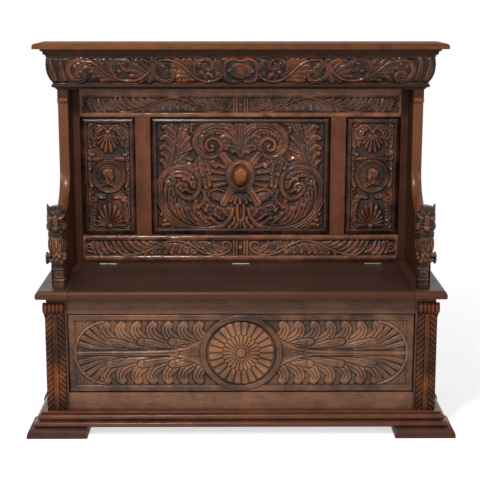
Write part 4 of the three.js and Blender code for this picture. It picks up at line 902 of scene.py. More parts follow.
def scrolling_strip(relief, tall):
    """Leaves that run from an end spiral along a waving stem to a volute, drawn for the left half of a strip
    and for 25 mm above and below its middle."""
    up = tall / 25.0

    def at(*points):
        return [(x, z * up) for x, z in points]

    for points in ([(-500, -22), (-470, -8), (-440, 4), (-400, 8), (-350, 4), (-306, 16)],
                   [(-316, -20), (-280, -12), (-240, 2), (-200, -6), (-160, -16)],
                   [(-536, 14), (-516, 6), (-496, -4)], [(-170, 22), (-130, 8), (-90, -2), (-64, -10)]):
        relief.feather(at(*points), (6.0, 15.0, 17.0, 15.0, 8.0), 3.6, 13.0)
    for foot, tip in (((-528, 21), (-520, -17)), ((-514, 23), (-499, -20)), ((-498, 23), (-475, -20)),
                      ((-483, 21), (-448, -14)), ((-188, 24), (-150, 2)), ((-168, 24), (-132, 0)),
                      ((-145, 22), (-108, -17)), ((-125, 23), (-87, -17)), ((-100, 23), (-68, -14))):
        relief.leaf(at(*bent(foot, tip, 0.3, 0.6)), 5.0, 5.2)
    for tip, foot in (((-455, 19), (-424, -16)), ((-437, 20), (-398, -20)), ((-419, 21), (-372, -18)),
                      ((-398, 21), (-350, -12)), ((-374, 20), (-328, -2)), ((-348, 19), (-308, 6)),
                      ((-323, 20), (-292, 14)), ((-290, -17), (-257, 13)), ((-268, -17), (-240, 15)),
                      ((-246, -17), (-220, 15)), ((-218, -15), (-199, 11)), ((-191, -16), (-174, 4)),
                      ((-164, -18), (-146, -6)), ((-402, -20), (-440, 2)), ((-340, -20), (-312, -6)),
                      ((-316, -19), (-288, 0))):
        relief.leaf(at(*bent(foot, tip, 0.65, 0.4)), 5.4, 5.2)
    relief.stroke(at((-444, -2), (-425, -18), (-406, -24), (-357, -18), (-307, 2), (-257, 22), (-216, 23),
                     (-179, 11), (-137, -14), (-100, -23), (-67, -21), (-42, -10), (-34, 9), (-46, 20),
                     (-61, 17), (-63, 2), (-50, -2)),
                  (3.4, 4.0, 4.0, 4.0, 4.0, 3.6, 3.0), 5.5, gap=1.4)
    relief.stroke(at((-528, -14), (-548, -8), (-548, 10), (-534, 12), (-532, 0), (-541, 1)),
                  (3.0, 3.4, 3.0), 5.0)
    for x0 in (-24, -14):
        relief.band(at((x0, -22), (x0, 22)), (4.0,), 5.0, gap=1.0)
    relief.mirror()
    relief.dome((0, 0), (7.0, 9.0 * up), 5.4)


def carved_rail(node, strip_bottom, strip_top, plain_tone):
    """A rail whose face is plain but for one sunk strip of carving."""
    (_, _, bottom), (_, rear, top) = extent(node)
    ground = 5.5
    fine_z = even(strip_bottom, strip_top, 1.3)
    up = np.concatenate((even(bottom, strip_bottom - 1.0, 16.0), fine_z, even(strip_top + 1.0, top, 16.0)))
    relief = Relief(even(clearance - stile_inner, stile_inner - clearance, 1.45),
                    up - (strip_bottom + strip_top) / 2)
    tall = (strip_top - strip_bottom) / 2
    scrolling_strip(relief, tall - 1.0)
    x, z = relief.grid()
    relief.flatten((np.abs(x) > strip_half) | (np.abs(z) > tall + 0.01), ground, plain_tone)
    relief.h = np.where(np.abs(z) <= tall + 2, smoothed(relief.h, 1), relief.h)
    relief.z = up
    rail = carved_board(f"carved_{node}", relief, back_front + ground, rear, ground)
    stand_for(rail, "carved_oak", rail_carving, node)


stile_inner, back_front = extent("back_stile_right")[0][:2]
opening_bottom, opening_top = extent("back_bottom_rail")[1][2], extent("back_top_rail")[0][2]
rail_stops = [(0.18, stain(24, 14, 10)), (0.36, stain(54, 33, 25)), (0.54, stain(92, 57, 42)),
              (0.76, stain(124, 76, 52)), (1.0, stain(158, 104, 74))]
rail_carving = carved_oak("oak_carved_rail", "x", rail_stops, shift=-0.08)
strip_half = 553.0
# The top rail's plain band is given the lightest tone, a painted sheen.
carved_rail("back_top_rail", strip_bottom=1017.0, strip_top=1069.0, plain_tone=1.0)
carved_rail("back_bottom_rail", strip_bottom=505.0, strip_top=560.0, plain_tone=0.7)

# Middle panel of the back: a wide board with a flat border. Its sunk field is filled with leafy scrolls that
# wind out from a foot under an oval boss, with a palmette above it and tall leaves in the corners.


def bordered(relief, half, tall):
    """Leaves a flat border round the field, with a slope up to it from the frame and a quirk inside it."""
    x, z = relief.grid()
    from_edge = np.minimum(half - np.abs(x), tall - np.abs(z))
    slope = np.interp(from_edge, [2.0, 3.0, 12.0, 13.0],
                      [1.0, panel_level - 5.0, panel_level - 0.6, panel_level])
    relief.flatten(from_edge < panel_border, slope, 0.38)
    quirk = (from_edge >= panel_border) & (from_edge < panel_border + 1.6)
    relief.h = np.where(quirk, np.minimum(relief.h, 1.0), relief.h)


panel_front, panel_rear = [corner[1] for corner in extent("back_panel_middle")]
panel_level = 9.0
panel_ground = panel_front + panel_level
panel_middle = (opening_bottom + opening_top) / 2
panel_tall = (opening_top - opening_bottom) / 2 - clearance
muntin_inner, muntin_outer = [corner[0] for corner in extent("muntin_right")]
middle_half = muntin_inner - clearance
panel_border = 21.0
middle = Relief(even(-middle_half, middle_half, 1.7), even(-panel_tall, panel_tall, 1.7))
# Broad scalloped leaves, which the sprays and buds stand on
for points, widths, lobe in [
        ([(-262, 12), (-248, 60), (-242, 110), (-244, 150), (-250, 186)], (12, 24, 28, 26, 16), 26.0),
        ([(-226, 24), (-208, 70), (-198, 120), (-200, 165), (-206, 190)], (10, 24, 24, 18, 8), 24.0),
        ([(-60, -182), (-120, -170), (-180, -146), (-226, -104), (-246, -56), (-240, -10)],
         (8, 22, 30, 30, 24, 12), 26.0),
        ([(-30, -120), (-60, -130), (-92, -128), (-118, -108), (-124, -76)], (10, 22, 24, 20, 10), 20.0),
        ([(-262, -20), (-236, 14), (-196, 14), (-168, -10), (-164, -40)], (8, 16, 16, 14, 8), 16.0),
        ([(-12, 100), (-40, 150), (-80, 166), (-120, 156), (-144, 120), (-130, 86)],
         (8, 18, 20, 18, 14, 8), 18.0),
        ([(-10, 84), (-34, 100), (-56, 124), (-66, 150)], (8, 18, 20, 10), 20.0),
        ([(-140, 70), (-138, 40), (-126, 10), (-118, -30), (-126, -60)], (14, 26, 24, 18, 10), 22.0),
        ([(-90, 60), (-110, 44), (-128, 40)], (6, 12, 8), 14.0),
        ([(-160, 184), (-186, 176), (-200, 150), (-196, 120)], (5, 12, 14, 6), 14.0),
        ([(-200, -192), (-236, -178), (-262, -150), (-276, -120)], (5, 14, 16, 8), 16.0),
        ([(-100, -70), (-80, -76), (-60, -84)], (12, 18, 12), 16.0)]:
    middle.feather(points, widths, 5.6, lobe)
# Corner leaves: an outer plume whose lobes curl out, and an inner one whose lobes curl in
for points, half in [
        ([(-238, 96), (-233, 120), (-241, 155), (-256, 172), (-270, 174)], 8.0),
        ([(-240, 72), (-235, 96), (-248, 128), (-264, 140), (-277, 134)], 8.0),
        ([(-248, 44), (-243, 64), (-252, 92), (-268, 106), (-279, 100)], 8.5),
        ([(-256, 26), (-256, 40), (-264, 66), (-276, 80)], 8.0),
        ([(-260, 14), (-260, 24), (-270, 42), (-279, 54)], 7.0),
        ([(-240, 20), (-226, 34), (-205, 42), (-172, 42)], 6.5),
        ([(-230, 40), (-218, 60), (-198, 67), (-173, 60)], 6.5),
        ([(-225, 62), (-216, 82), (-194, 92), (-173, 100)], 6.5),
        ([(-220, 86), (-210, 106), (-198, 124), (-182, 138)], 6.5),
        ([(-217, 108), (-211, 128), (-202, 148), (-193, 164)], 6.0),
        ([(-216, 130), (-216, 150), (-212, 168)], 6.0), ([(-232, 128), (-230, 150), (-228, 172)], 5.5)]:
    middle.leaf(points, half, 7.6)
middle.stroke([(-268, 9), (-245, 60), (-233, 108), (-229, 151), (-221, 174)], (5.0, 5.0, 4.2, 3.4), 6.6)
middle.stroke([(-240, 24), (-221, 80), (-213, 128), (-217, 171)], (5.0, 4.6, 3.6), 6.6)
# Lower scroll: buds and leaves that spring from inside its rim
for points, half in [
        ([(-190, -172), (-221, -158), (-252, -118), (-262, -70), (-254, -27)], 12.0),
        ([(-178, -172), (-201, -158), (-225, -130), (-238, -96), (-235, -66)], 9.5),
        ([(-160, -174), (-186, -164), (-211, -138), (-219, -106)], 9.5),
        ([(-124, -174), (-150, -168), (-176, -148), (-188, -118)], 10.5),
        ([(-92, -172), (-115, -172), (-137, -158), (-148, -136)], 8.5),
        ([(-150, -136), (-166, -122), (-160, -90)], 8.5),
        ([(-48, -176), (-76, -178), (-96, -166), (-109, -152)], 9.0),
        ([(-30, -150), (-50, -144), (-62, -132), (-71, -116)], 8.5),
        ([(-60, -158), (-78, -152), (-90, -140)], 7.0), ([(-236, -74), (-240, -58), (-246, -44)], 5.0),
        ([(-264, 2), (-240, 16), (-200, 17), (-168, -5)], 7.0),
        ([(-258, -10), (-236, 2), (-206, 2), (-182, -8)], 6.0),
        ([(-134, -52), (-124, -80), (-132, -100), (-150, -112)], 8.0),
        ([(-96, -112), (-112, -108), (-122, -124)], 7.0),
        ([(-212, -176), (-233, -170), (-252, -156), (-271, -160)], 6.5),
        ([(-204, -186), (-226, -182), (-252, -175), (-276, -177)], 6.0),
        ([(-254, -136), (-270, -128), (-280, -138)], 6.0),
        ([(-190, -194), (-230, -192), (-276, -194)], 4.5)]:
    middle.leaf(points, half, 8.0, ridges=2 if half > 9 else 1)
middle.stroke([(-27, -118), (-37, -150), (-64, -177), (-115, -192), (-178, -190), (-217, -175),
               (-245, -154), (-272, -118), (-284, -86), (-288, -55), (-284, -23), (-272, 5), (-248, 25),
               (-217, 34), (-190, 32), (-162, 17), (-147, -11), (-145, -39), (-154, -63), (-170, -78),
               (-190, -80), (-209, -70), (-223, -55), (-225, -39), (-215, -27), (-198, -29), (-192, -39)],
              (6.0, 9.0, 12.0, 13.0, 12.5, 11.0, 9.5, 8.5, 7.5, 6.5), 8.8, ridges=3, gap=1.6, sunk=0.5)
# Upper scroll, with leaf strands that run over its top from the palmette
for points, wide in [
        ([(-6, 92), (-22, 119), (-42, 139), (-62, 146), (-72, 143)], 4.4),
        ([(-5, 93), (-20, 121), (-42, 145), (-66, 160), (-90, 162), (-110, 153), (-122, 139)], 4.4),
        ([(-4, 92), (-16, 127), (-34, 155), (-58, 171), (-86, 174), (-110, 167), (-126, 151)], 4.6)]:
    middle.stroke(points, (2.5, wide, wide, 3.0), 7.0, gap=1.2)
for points, half in [
        ([(-150, 184), (-168, 182), (-184, 172)], 6.0), ([(-166, 150), (-176, 160), (-172, 172)], 5.5),
        ([(-146, 66), (-158, 42), (-154, 25)], 6.5), ([(-139, 68), (-141, 40), (-133, 4)], 7.5),
        ([(-131, 68), (-116, 40), (-108, 10)], 6.5), ([(-123, 66), (-104, 52), (-86, 36)], 6.5),
        ([(-120, 8), (-108, -10), (-110, -34)], 6.5), ([(-128, -4), (-128, -22), (-122, -40)], 6.0)]:
    middle.leaf(points, half, 8.0)
middle.stroke([(-13, 165), (-37, 181), (-68, 187), (-107, 184), (-135, 172), (-154, 148), (-160, 124),
               (-156, 100), (-139, 80), (-115, 68), (-92, 70), (-72, 86), (-68, 108), (-80, 128),
               (-100, 134), (-117, 124), (-121, 108), (-115, 94), (-100, 92), (-94, 104), (-102, 112)],
              (5.0, 8.5, 10.5, 10.5, 9.5, 8.5, 7.0, 6.0, 5.5), 8.8, ridges=3, gap=1.6, sunk=0.5)
middle.dome((-98, 106), 8.0, 9.0)
for points, half in [([(-178, -60), (-192, -52), (-206, -52)], 8.0),
                     ([(-172, -40), (-182, -22), (-200, -12)], 8.0),
                     ([(-204, -38), (-210, -40), (-214, -44)], 5.0)]:
    middle.leaf(points, half, 8.8)
middle.stroke([(-113, -74), (-109, -57), (-84, -46), (-57, -54), (-49, -66)], (4.5, 5.5, 4.5), 8.2, gap=2.0)
middle.stroke([(-96, -72), (-80, -80), (-66, -80)], (5.0, 9.0, 6.0), 6.0, ridges=2)
# Palmette over the boss, and a foot under it: a crown of petals over a fluted tongue between leaves
for points, half in [
        ([(-4, 68), (-21, 96), (-38, 105), (-50, 98)], 8.5),
        ([(-4, 84), (-25, 124), (-48, 140), (-64, 138)], 8.0),
        ([(-4, 100), (-13, 140), (-30, 162), (-52, 172)], 6.5), ([(-4, 110), (-8, 150), (-15, 182)], 7.0),
        ([(-4, 74), (-14, 86), (-27, 85)], 6.5), ([(-20, -152), (-24, -172), (-40, -186)], 7.5),
        ([(-6, -160), (-10, -178), (-20, -190)], 5.5), ([(-12, -76), (-17, -88), (-20, -97)], 6.0),
        ([(-22, -72), (-31, -84), (-37, -88)], 5.5)]:
    middle.leaf(points, half, 8.2)
middle.stroke([(-11, -104), (-12, -130), (-8, -158)], (6.0, 6.0, 5.0), 8.4, ridges=2, gap=1.6)
middle.mirror()
middle.leaf([(0, 72), (0, 130), (0, 182)], 7.0, 8.4, ridges=2)
middle.leaf([(0, -70), (0, -84), (0, -96)], 7.0, 8.8)
middle.stroke([(0, -158), (0, -194)], (3.0, 5.0), 7.0)
# Straps that cross behind the boss, rays at its sides, and a punched ring round it
for side in (1, -1):
    for points, wide in (([(-54, 30), (-97, 50)], 5.5), ([(-56, 10), (-100, 19)], 6.0),
                         ([(-56, -10), (-98, -10)], 6.0), ([(-54, -27), (-92, -35)], 5.5)):
        middle.stroke(sided(points, side), (wide, wide + 1.5), 7.6, ridges=2, gap=1.2)
    for (ax, az), (bx, bz) in (((-30, 30), (-62, 74)), ((-27, -40), (-60, -96))):
        long = math.hypot(bx - ax, bz - az)
        middle.band(sided([(ax, az), (bx, bz)], side), (14.5,), 7.4, gap=2.2)
        for line in (-10.36, 10.36):
            dx, dz = line * (bz - az) / long, -line * (bx - ax) / long
            middle.cut(sided([(ax + dx, az + dz), (bx + dx, bz + dz)], side), (1.9,), 4.0)
        middle.punch([(side * (ax + (bx - ax) * way), az + (bz - az) * way) for way in (0.6, 0.75, 0.9)],
                     2.4, 4.0)
middle.dome((0, 0), (54.0, 60.0), 8.0, power=14, gap=2.0)
turns = np.linspace(0, 2 * math.pi, 44, endpoint=False)
middle.punch([(46 * math.sin(a), 54 * math.cos(a)) for a in turns], 2.2, 4.5)
bordered(middle, middle_half, panel_tall)
middle.h = smoothed(middle.h, 1)
middle.z = middle.z + panel_middle
middle_carving = carved_oak("oak_carved_middle", "z", carving_stops)
middle_panel = carved_board("carved_back_panel_middle", middle, panel_ground, panel_rear, panel_level)
stand_for(middle_panel, "carved_oak", middle_carving, "back_panel_middle")

# Oval boss: a turned and polished egg glued on where the straps cross, in a ring of small beads. It is
# painted dark round its foot, as shade in the groove there, and is a bright orange brown on its crown.
boss_low, boss_high = extent("centre_boss")
boss_across, boss_up = 26.0, 36.0
boss_rear = boss_high[1]
boss_profile = [(1.29, 0.0), (1.31, 5.2), (1.29, 6.2), (1.26, 6.0), (1.24, 3.2), (1.02, 3.0)] + [
    (math.cos(a), 3.4 + (boss_rear - boss_low[1] - 3.6) * math.sin(a))
    for a in np.linspace(0.02, math.pi / 2 - 0.05, 14)]
boss_stops = [(0.2, stain(16, 9, 6)), (0.42, stain(66, 34, 17)), (0.6, stain(108, 56, 25)),
              (0.8, stain(134, 72, 34)), (1.0, stain(156, 88, 44))]
boss_oak = carved_oak("oak_boss", "z", boss_stops, shift=-0.1)
boss = turned_boss("oval_boss", boss_profile, (0.0, boss_rear, panel_middle), boss_across, boss_up,
                   sunk=(4, 5, 6))
stand_for(boss, "carved_oak", boss_oak, "centre_boss")
bead_profile = [(1.7, 0.0), (1.9, 1.4), (1.4, 2.6), (0.7, 3.1)]
bead_unit = turned_boss("bead_unit", bead_profile, (0.0, 0.0, 0.0), steps=8)
beads = grown("boss_bead_ring", round_tree, round_keys, {
    "Unit": bead_unit, "Count": 32, "Half Across": 29.6 * MM, "Half Up": 40.6 * MM,
    "Centre": (0.0, (boss_rear - 2.8) * MM, panel_middle * MM), "Start": 0.0, "Material": boss_oak})
stand_for(beads, "carved_oak", boss_oak)
bpy.data.objects.remove(bead_unit)

# Side panels of the back: a shell and scrolls over a medallion with a head in a ring, and a palmette below.
# The heads look inwards, to the middle of the settle.
side_half = (stile_inner - muntin_outer) / 2 - clearance
side_middle = (stile_inner + muntin_outer) / 2
narrow = Relief(even(-side_half, side_half, 1.3), even(-panel_tall, panel_tall, 1.3))
for points, widths in [
        ([(-60, 182), (-72, 150), (-72, 110), (-62, 70), (-40, 58)], (8, 14, 14, 12, 8)),
        ([(-20, 178), (-36, 166), (-44, 140), (-50, 110)], (6, 14, 12, 8)),
        ([(-66, 52), (-70, 20), (-70, -20), (-64, -60)], (6, 9, 9, 8)),
        ([(-20, -72), (-46, -76), (-62, -104), (-62, -146), (-54, -186)], (6, 14, 16, 14, 8))]:
    narrow.feather(points, widths, 5.4, 14.0)
for points, half in [
        ([(-14, 168), (-30, 160), (-36, 150)], 5.0), ([(-44, 184), (-58, 184), (-68, 176)], 5.0),
        ([(-58, 166), (-68, 154), (-74, 136), (-73, 116), (-64, 105)], 6.5),
        ([(-74, 110), (-76, 92), (-64, 80), (-53, 78)], 6.0), ([(-73, 84), (-72, 68), (-65, 60)], 5.5),
        ([(-60, 58), (-40, 64), (-24, 65)], 4.8), ([(-62, 62), (-67, 44), (-66, 24)], 6.0),
        ([(-72, 14), (-72, 0), (-71, -14)], 4.5), ([(-66, -8), (-64, -24), (-60, -36)], 6.5),
        ([(-58, -44), (-70, -52), (-70, -70)], 5.5), ([(-52, -80), (-38, -74), (-18, -76)], 5.5),
        ([(-66, -74), (-70, -86), (-70, -98)], 5.0),
        ([(-50, -104), (-58, -122), (-62, -140), (-58, -160)], 8.0),
        ([(-72, -110), (-73, -126), (-71, -144)], 4.5), ([(-66, -164), (-70, -176), (-62, -188)], 5.5),
        ([(-48, -182), (-56, -190), (-70, -192)], 4.0)]:
    narrow.leaf(points, half, 8.0)
narrow.stroke([(-5, 164), (-20, 178), (-38, 180), (-53, 169), (-60, 152), (-57, 136), (-48, 132),
               (-43, 143)],
              (4.0, 5.0, 5.0, 4.6, 4.0), 8.4, ridges=2)
narrow.stroke([(-44, -86), (-62, -90), (-71, -114), (-70, -142), (-63, -168), (-46, -182)],
              (4.0, 5.0, 5.0, 4.0), 8.0, ridges=2)
narrow.mirror()
narrow.fan((0, 154), (45, 74), facing=math.pi, spread=1.2, lobes=8, rise=9.4)
narrow.fan((0, -178), (48, 84), facing=0.0, spread=1.66, lobes=11, rise=9.4)
narrow.dome((0, 158), (11.0, 9.0), 9.0)
narrow.dome((0, -180), (12.0, 9.0), 9.0)
ring_outer, ring_inner = 59.0, 47.0
x, z = narrow.grid()
away = np.hypot(x, z)
narrow.h = np.where(away < ring_outer + 1.6, 1.0, narrow.h)
ring = np.interp(away, [ring_inner, 49.0, 52.0, 55.0, 57.0, ring_outer], [5.0, 5.4, 4.0, 6.0, 9.0, 8.0])
narrow.h = np.where((away < ring_outer) & (away > ring_inner), ring, narrow.h)
narrow.h = np.where(away <= ring_inner, 2.4 - 1.4 * (away / ring_inner) ** 2, narrow.h)
# Head in the medallion, in profile and calm, with a banded cap of hair and a gathered collar
narrow.stroke([(-32, -33), (-16, -24), (4, -26), (24, -38)], (7, 9, 9, 6), (6, 8, 8, 6), ridges=3, gap=1.0)
narrow.stroke([(-36, -25), (-22, -18), (-4, -24), (14, -34)], (4, 5, 4.5, 3), (6, 8.5, 8.5, 6), gap=1.0)
narrow.band([(-3, -6), (-4, -20)], (9.5, 10.5), 8.5, gap=0.5)
narrow.fill([(0, 30), (9, 28.6), (15.4, 21.5), (16.8, 14), (17.2, 10), (15.8, 6.4), (19.6, 0.4),
             (21.2, -3.4), (17.6, -4.8), (18.4, -7.2), (16.9, -8.6), (17.8, -10.2), (15.8, -12.2),
             (16.8, -15.6), (13.2, -18.8), (4, -15.4), (-4, -8.4), (-12, -6), (-20, -4), (-24.5, 7),
             (-21, 20), (-11, 28.2)],
            12.4, 13.0, floor_share=0.3)
narrow.stroke([(10.5, 9.2), (14.5, 9.6), (16.6, 8.4)], (1.6, 1.8, 1.4), (12.2, 11.6, 9.6), gap=0.2)
narrow.dome((12.4, 5.8), (2.6, 1.7), 11.2, gap=0.2)
narrow.stroke([(-3.4, 6.0), (-5.0, 2.4), (-3.6, -1.4)], (1.8, 2.4, 1.6), 13.4, gap=0.8)
narrow.stroke([(15.0, 16.4), (4, 14.6), (-10, 10.2), (-21.6, 4.0)], (2.0,), (11.6, 14.0, 13.8, 11.6), gap=0.8)
for index in range(6):
    lean = math.radians(18 + 27 * index)
    narrow.cut([(-4 + 8 * math.cos(lean), 17 + 4 * math.sin(lean)),
                (-4 + 21 * math.cos(lean), 16 + 13 * math.sin(lean))],
               (1.5,), 1.8)
for index in range(3):
    lock = [(-8 - 3.6 * index, 6 - 1.4 * index), (-10 - 3.8 * index, -2 - index),
            (-9 - 3.4 * index, -9 + index)]
    narrow.stroke(lock, (2.1,), 13.0 - 1.6 * index, gap=0.5)
bordered(narrow, side_half, panel_tall)
narrow.h = smoothed(narrow.h, 1)
narrow.z = narrow.z + panel_middle
side_carving = carved_oak("oak_carved_side", "z", carving_stops)
x, z = narrow.grid()
for side_name, side in sides.items():
    place_x = side * side_middle - side * x
    face = np.stack((place_x, panel_ground - narrow.h, z), -1) * MM
    back = np.stack((place_x, np.full(x.shape, panel_rear), z), -1) * MM
    board = carved_sheet(f"carved_back_panel_{side_name}", face, back, narrow.height(panel_level),
                         narrow.hollow())
    stand_for(board, "carved_oak", side_carving, f"back_panel_{side_name}")

# Wings: one board each side, with the grain upright, swept forward into the arm. A rounded strip, rubbed
# to a bright orange brown, is bent along the front edge, under a small turned roll.
# The wing boards are stained near black, partly as painted shade on their inner faces.
wing_oak = plain_oak("oak_wing", "z", stain(32, 18, 12), stain(62, 35, 23), stain(140, 84, 52), width=0.12)
dress(pair("wing"), wing_oak)
wing_edge_oak = plain_oak("oak_wing_edge", "z", stain(62, 31, 15), stain(110, 61, 31), stain(156, 96, 56),
                          width=0.05, gloss=0.22, shine=0.3)
dress(pair("wing_edge"), wing_edge_oak, 0.0005)

# Over each strip a small turned roll, with a bead at each end and a groove round its middle
roll_centre_y = extent("frieze_front")[1][1]
roll_lift = 9.0
roll_centre_z = extent("wing_edge_right")[1][2] + roll_lift
roll_profile = [(0.0, 6.0), (0.02, 8.4), (0.1, 9.6), (0.2, 8.2), (0.24, 9.8), (0.45, 10.2), (0.48, 9.0),
                (0.52, 9.0), (0.55, 10.2), (0.76, 9.8), (0.8, 8.2), (0.9, 9.6), (0.98, 8.4), (1.0, 6.0)]
roll_turn = np.linspace(0, 2 * math.pi, 32, endpoint=False)
width_share, radius = np.array(roll_profile).T[..., None]
for side_name in sides:
    wing_low, wing_high = extent(f"wing_{side_name}")
    rings = np.stack((wing_low[0] + width_share * (wing_high[0] - wing_low[0]) + 0 * roll_turn,
                      roll_centre_y + radius * np.cos(roll_turn),
                      roll_centre_z + radius * np.sin(roll_turn)), -1)
    corners, faces = closed_column(rings)
    stand_for(new_piece(f"wing_roll_{side_name}", corners * MM, faces), "dark_oak", wing_edge_oak)

# Arm figures: a horned mask with a long beard over a cluster of knobs, on a small fluted post. Each is
# carved from one block, stained dark and rubbed on the brows, nose and cheeks.
figure_low, figure_high = extent("arm_figure_right")
figure_foot, figure_tall = figure_low[2], figure_high[2] - figure_low[2]
figure_rear_y = figure_high[1]
figure_centre_y = figure_rear_y - 25.0
figure_x = (figure_low[0] + figure_high[0]) / 2 - 5.0
column_pitch = 1.25
column_tall = figure_tall - 14.0
half_girth = 104.0
figure = Relief(np.linspace(-half_girth, half_girth, 2 * int(half_girth / column_pitch), endpoint=False),
                even(0.0, column_tall, column_pitch))
# Hair over the brow and down the sides
for index in range(6):
    lean = 8 + 11 * index
    figure.leaf([(0.4 * lean, 244), (0.7 * lean, 258), (lean, 268)], 6.0, 5.0)
for index in range(6):
    z0 = 248 - 22 * index
    figure.leaf([(42 + 3 * index, z0), (54 + 3 * index, z0 - 8), (59 + 5 * index, z0 - 25)], 7.0, 6.0,
                ridges=2)
    figure.leaf([(64 + 3 * index, z0 + 8), (78 + 2 * index, z0 - 8), (86 + index, z0 - 27)], 7.0, 6.0,
                ridges=2)
# Frowning brow, hollow eye under it with a lid, round cheek, and the wings of the nose
figure.stroke([(3, 232), (15, 237), (29, 246), (41, 247)], (5.5, 7.5, 6.5, 4), (8, 10, 9, 5), gap=3.0)
figure.stroke([(2, 246), (8, 253), (14, 260)], (2.6, 3.4, 2.4), (5, 6, 4), gap=0.8)
figure.dome((18, 226), (7.0, 4.4), 4.4, gap=2.4)
figure.stroke([(9, 219), (18, 217), (29, 221)], (2.0, 2.6, 1.8), 5.0, gap=0.8)
figure.dome((29, 205), (14.5, 15.5), 10.0, gap=1.6)
figure.dome((9, 206), (7.0, 6.5), 10.5, gap=0.8)
# Moustache and lips round the open mouth
figure.stroke([(3, 194), (16, 191), (30, 183), (37, 170)], (4, 6.5, 6, 4), (7, 8, 7, 5), ridges=2, gap=1.4)
figure.stroke([(2, 184), (13, 182), (20, 176), (13, 169), (2, 167)], (2.2, 2.8, 2.6, 2.8, 3.0),
              (5, 5, 4, 5, 6), gap=1.0)
# Beard: wavy strands that hang to the knobs
for index in range(6):
    x0 = 4 + 9 * index
    bow = 5 if index % 2 else -3
    strand = [(x0, 166 - index * 1.5), (x0 + bow * 0.5, 150), (x0 - bow * 0.6, 134),
              (x0 * 0.86 + bow * 0.4, 118)]
    figure.stroke(strand, (5, 6.5, 6.5, 4), (6, 8, 8, 5), ridges=2, gap=1.4)
figure.mirror()
figure.band([(0, 240), (0, 222), (0, 212)], (6, 7, 9), 9.0)
figure.stroke([(0, 232), (0, 218), (0, 206)], (5, 7, 11), (8, 11, 15), gap=0)
figure.dome((0, 203), (11, 10), 16.0, gap=1.2)
# Post: flutes under the knobs, a sunk panel, and two beads round it
for x0 in (-12, -4, 4, 12):
    figure.stroke([(x0, 80), (x0, 74)], (3.4,), 3.0, gap=0.8)
for level in (66.0, 30.0):
    figure.stroke([(-60, level), (0, level), (60, level)], (3.0,), 3.2, gap=1.4)
figure.fill([(-12, 38), (12, 38), (12, 59), (-12, 59)], 2.4, 1.5)
figure.cut([(-7, 48), (7, 48)], (7.0,), 2.4)
figure.h = smoothed(figure.h, 1)
# The block's own form at levels up from its foot: half width, depth in front, shift sideways, squareness
block = np.array([
    (0, 18, 24, -4, 8), (14, 18, 24, -4, 8), (18, 16.5, 22.5, -4, 8), (78, 16.5, 22.5, -4, 8),
    (82, 22, 30, -2, 4), (100, 27, 38, 0, 2.6), (116, 22, 32, 0, 2.4), (122, 23, 30, 0, 2.4),
    (140, 25, 31, 0, 2.3), (160, 26, 31, 0, 2.3), (176, 26, 29, 0, 2.3), (196, 27, 32, 0, 2.3),
    (214, 29, 33, 0, 2.3), (234, 29.5, 34, 0, 2.3), (250, 27, 33, 0, 2.2), (262, 22, 28, 0, 2.1),
    (271, 13, 16, 0, 2.0)])
half_width, front_depth, shift, square = [np.interp(figure.z, block[:, 0], values)[:, None]
                                          for values in block.T[1:]]
angle = figure.x[None] / half_girth * math.pi
sin_a, cos_a = np.sin(angle), np.cos(angle)
depth = np.where(cos_a > 0, front_depth, figure_rear_y - figure_centre_y)
block_out = (np.abs(sin_a / half_width) ** square + np.abs(cos_a / depth) ** square) ** (-1 / square)
fade = np.clip((cos_a + 0.75) / 0.5, 0.0, 1.0)
out = block_out + figure.h * fade * 0.85
flat_x = shift + out * sin_a
flat_y = np.minimum(figure_centre_y - out * cos_a, figure_rear_y)
figure_oak = carved_oak("oak_arm_figure", "z", [
    (0.2, stain(12, 8, 5)), (0.4, stain(36, 22, 15)), (0.62, stain(74, 46, 31)), (0.84, stain(116, 74, 48)),
    (1.0, stain(160, 104, 66))], gloss=0.2, shine=0.2, shift=-0.13)


def ball_rings(centre, radii):
    """Rings of an oval ball."""
    up = np.linspace(-math.pi / 2 + 0.12, math.pi / 2 - 0.12, 10)[:, None]
    turn = np.linspace(0, 2 * math.pi, 16, endpoint=False)
    x = radii[0] * np.cos(up) * np.cos(turn)
    y = radii[1] * np.cos(up) * np.sin(turn)
    z = radii[2] * np.sin(up) + 0 * turn
    return np.stack((centre[0] + x, centre[1] + y, centre[2] + z), -1)


def horn_rings(foot, tip, thick):
    """Rings of a short horn that is cupped in front."""
    foot, tip = np.array(foot, float), np.array(tip, float)
    turn = np.linspace(0, 2 * math.pi, 16, endpoint=False)
    rings = []
    for t in np.linspace(0, 1, 9):
        radius = thick * (1 - t) ** 0.8 + 0.5
        core = foot + (tip - foot) * t
        cup = 1 - 0.55 * np.clip(-np.sin(turn), 0, 1) * (1 - t)
        rings.append(np.stack((core[0] + radius * np.cos(turn), core[1] + 0.75 * radius * np.sin(turn) * cup,
                               np.full(turn.shape, core[2])), -1))
    return np.array(rings)


def on_block(across, forward, up):
    """A place beside the block: sideways and forward from its middle, and up from its foot."""
    return figure_x + across, figure_centre_y - forward, figure_foot + up


# Beside the block: two horns, a cluster of knobs under the beard, and a rosette of them on its outer side
horn_foot = 249
knobs = [horn_rings(on_block(18, 10, horn_foot), on_block(28, 15, figure_tall - 4), 11.5),
         horn_rings(on_block(-17, 10, horn_foot), on_block(-25, 15, figure_tall - 6), 10.5)]
for x0, z0 in [(-24, 105), (-9, 112), (8, 112), (-15, 93), (1, 98), (17, 97), (-26, 118), (23, 115)]:
    knobs.append(ball_rings(on_block(x0, 30 + 3 * math.cos(x0 / 20), z0), (7.5, 8.5, 7.5)))
rosette_forward, rosette_up, rosette_radius = 10, 101, 14
for turn in np.linspace(0, 2 * math.pi, 7, endpoint=False):
    petal_place = on_block(33, rosette_forward - rosette_radius * math.sin(turn),
                           rosette_up + rosette_radius * math.cos(turn))
    knobs.append(ball_rings(petal_place, (5.0, 6.5, 6.5)))
knobs.append(ball_rings(on_block(35, rosette_forward, rosette_up), (4.5, 7.5, 7.5)))
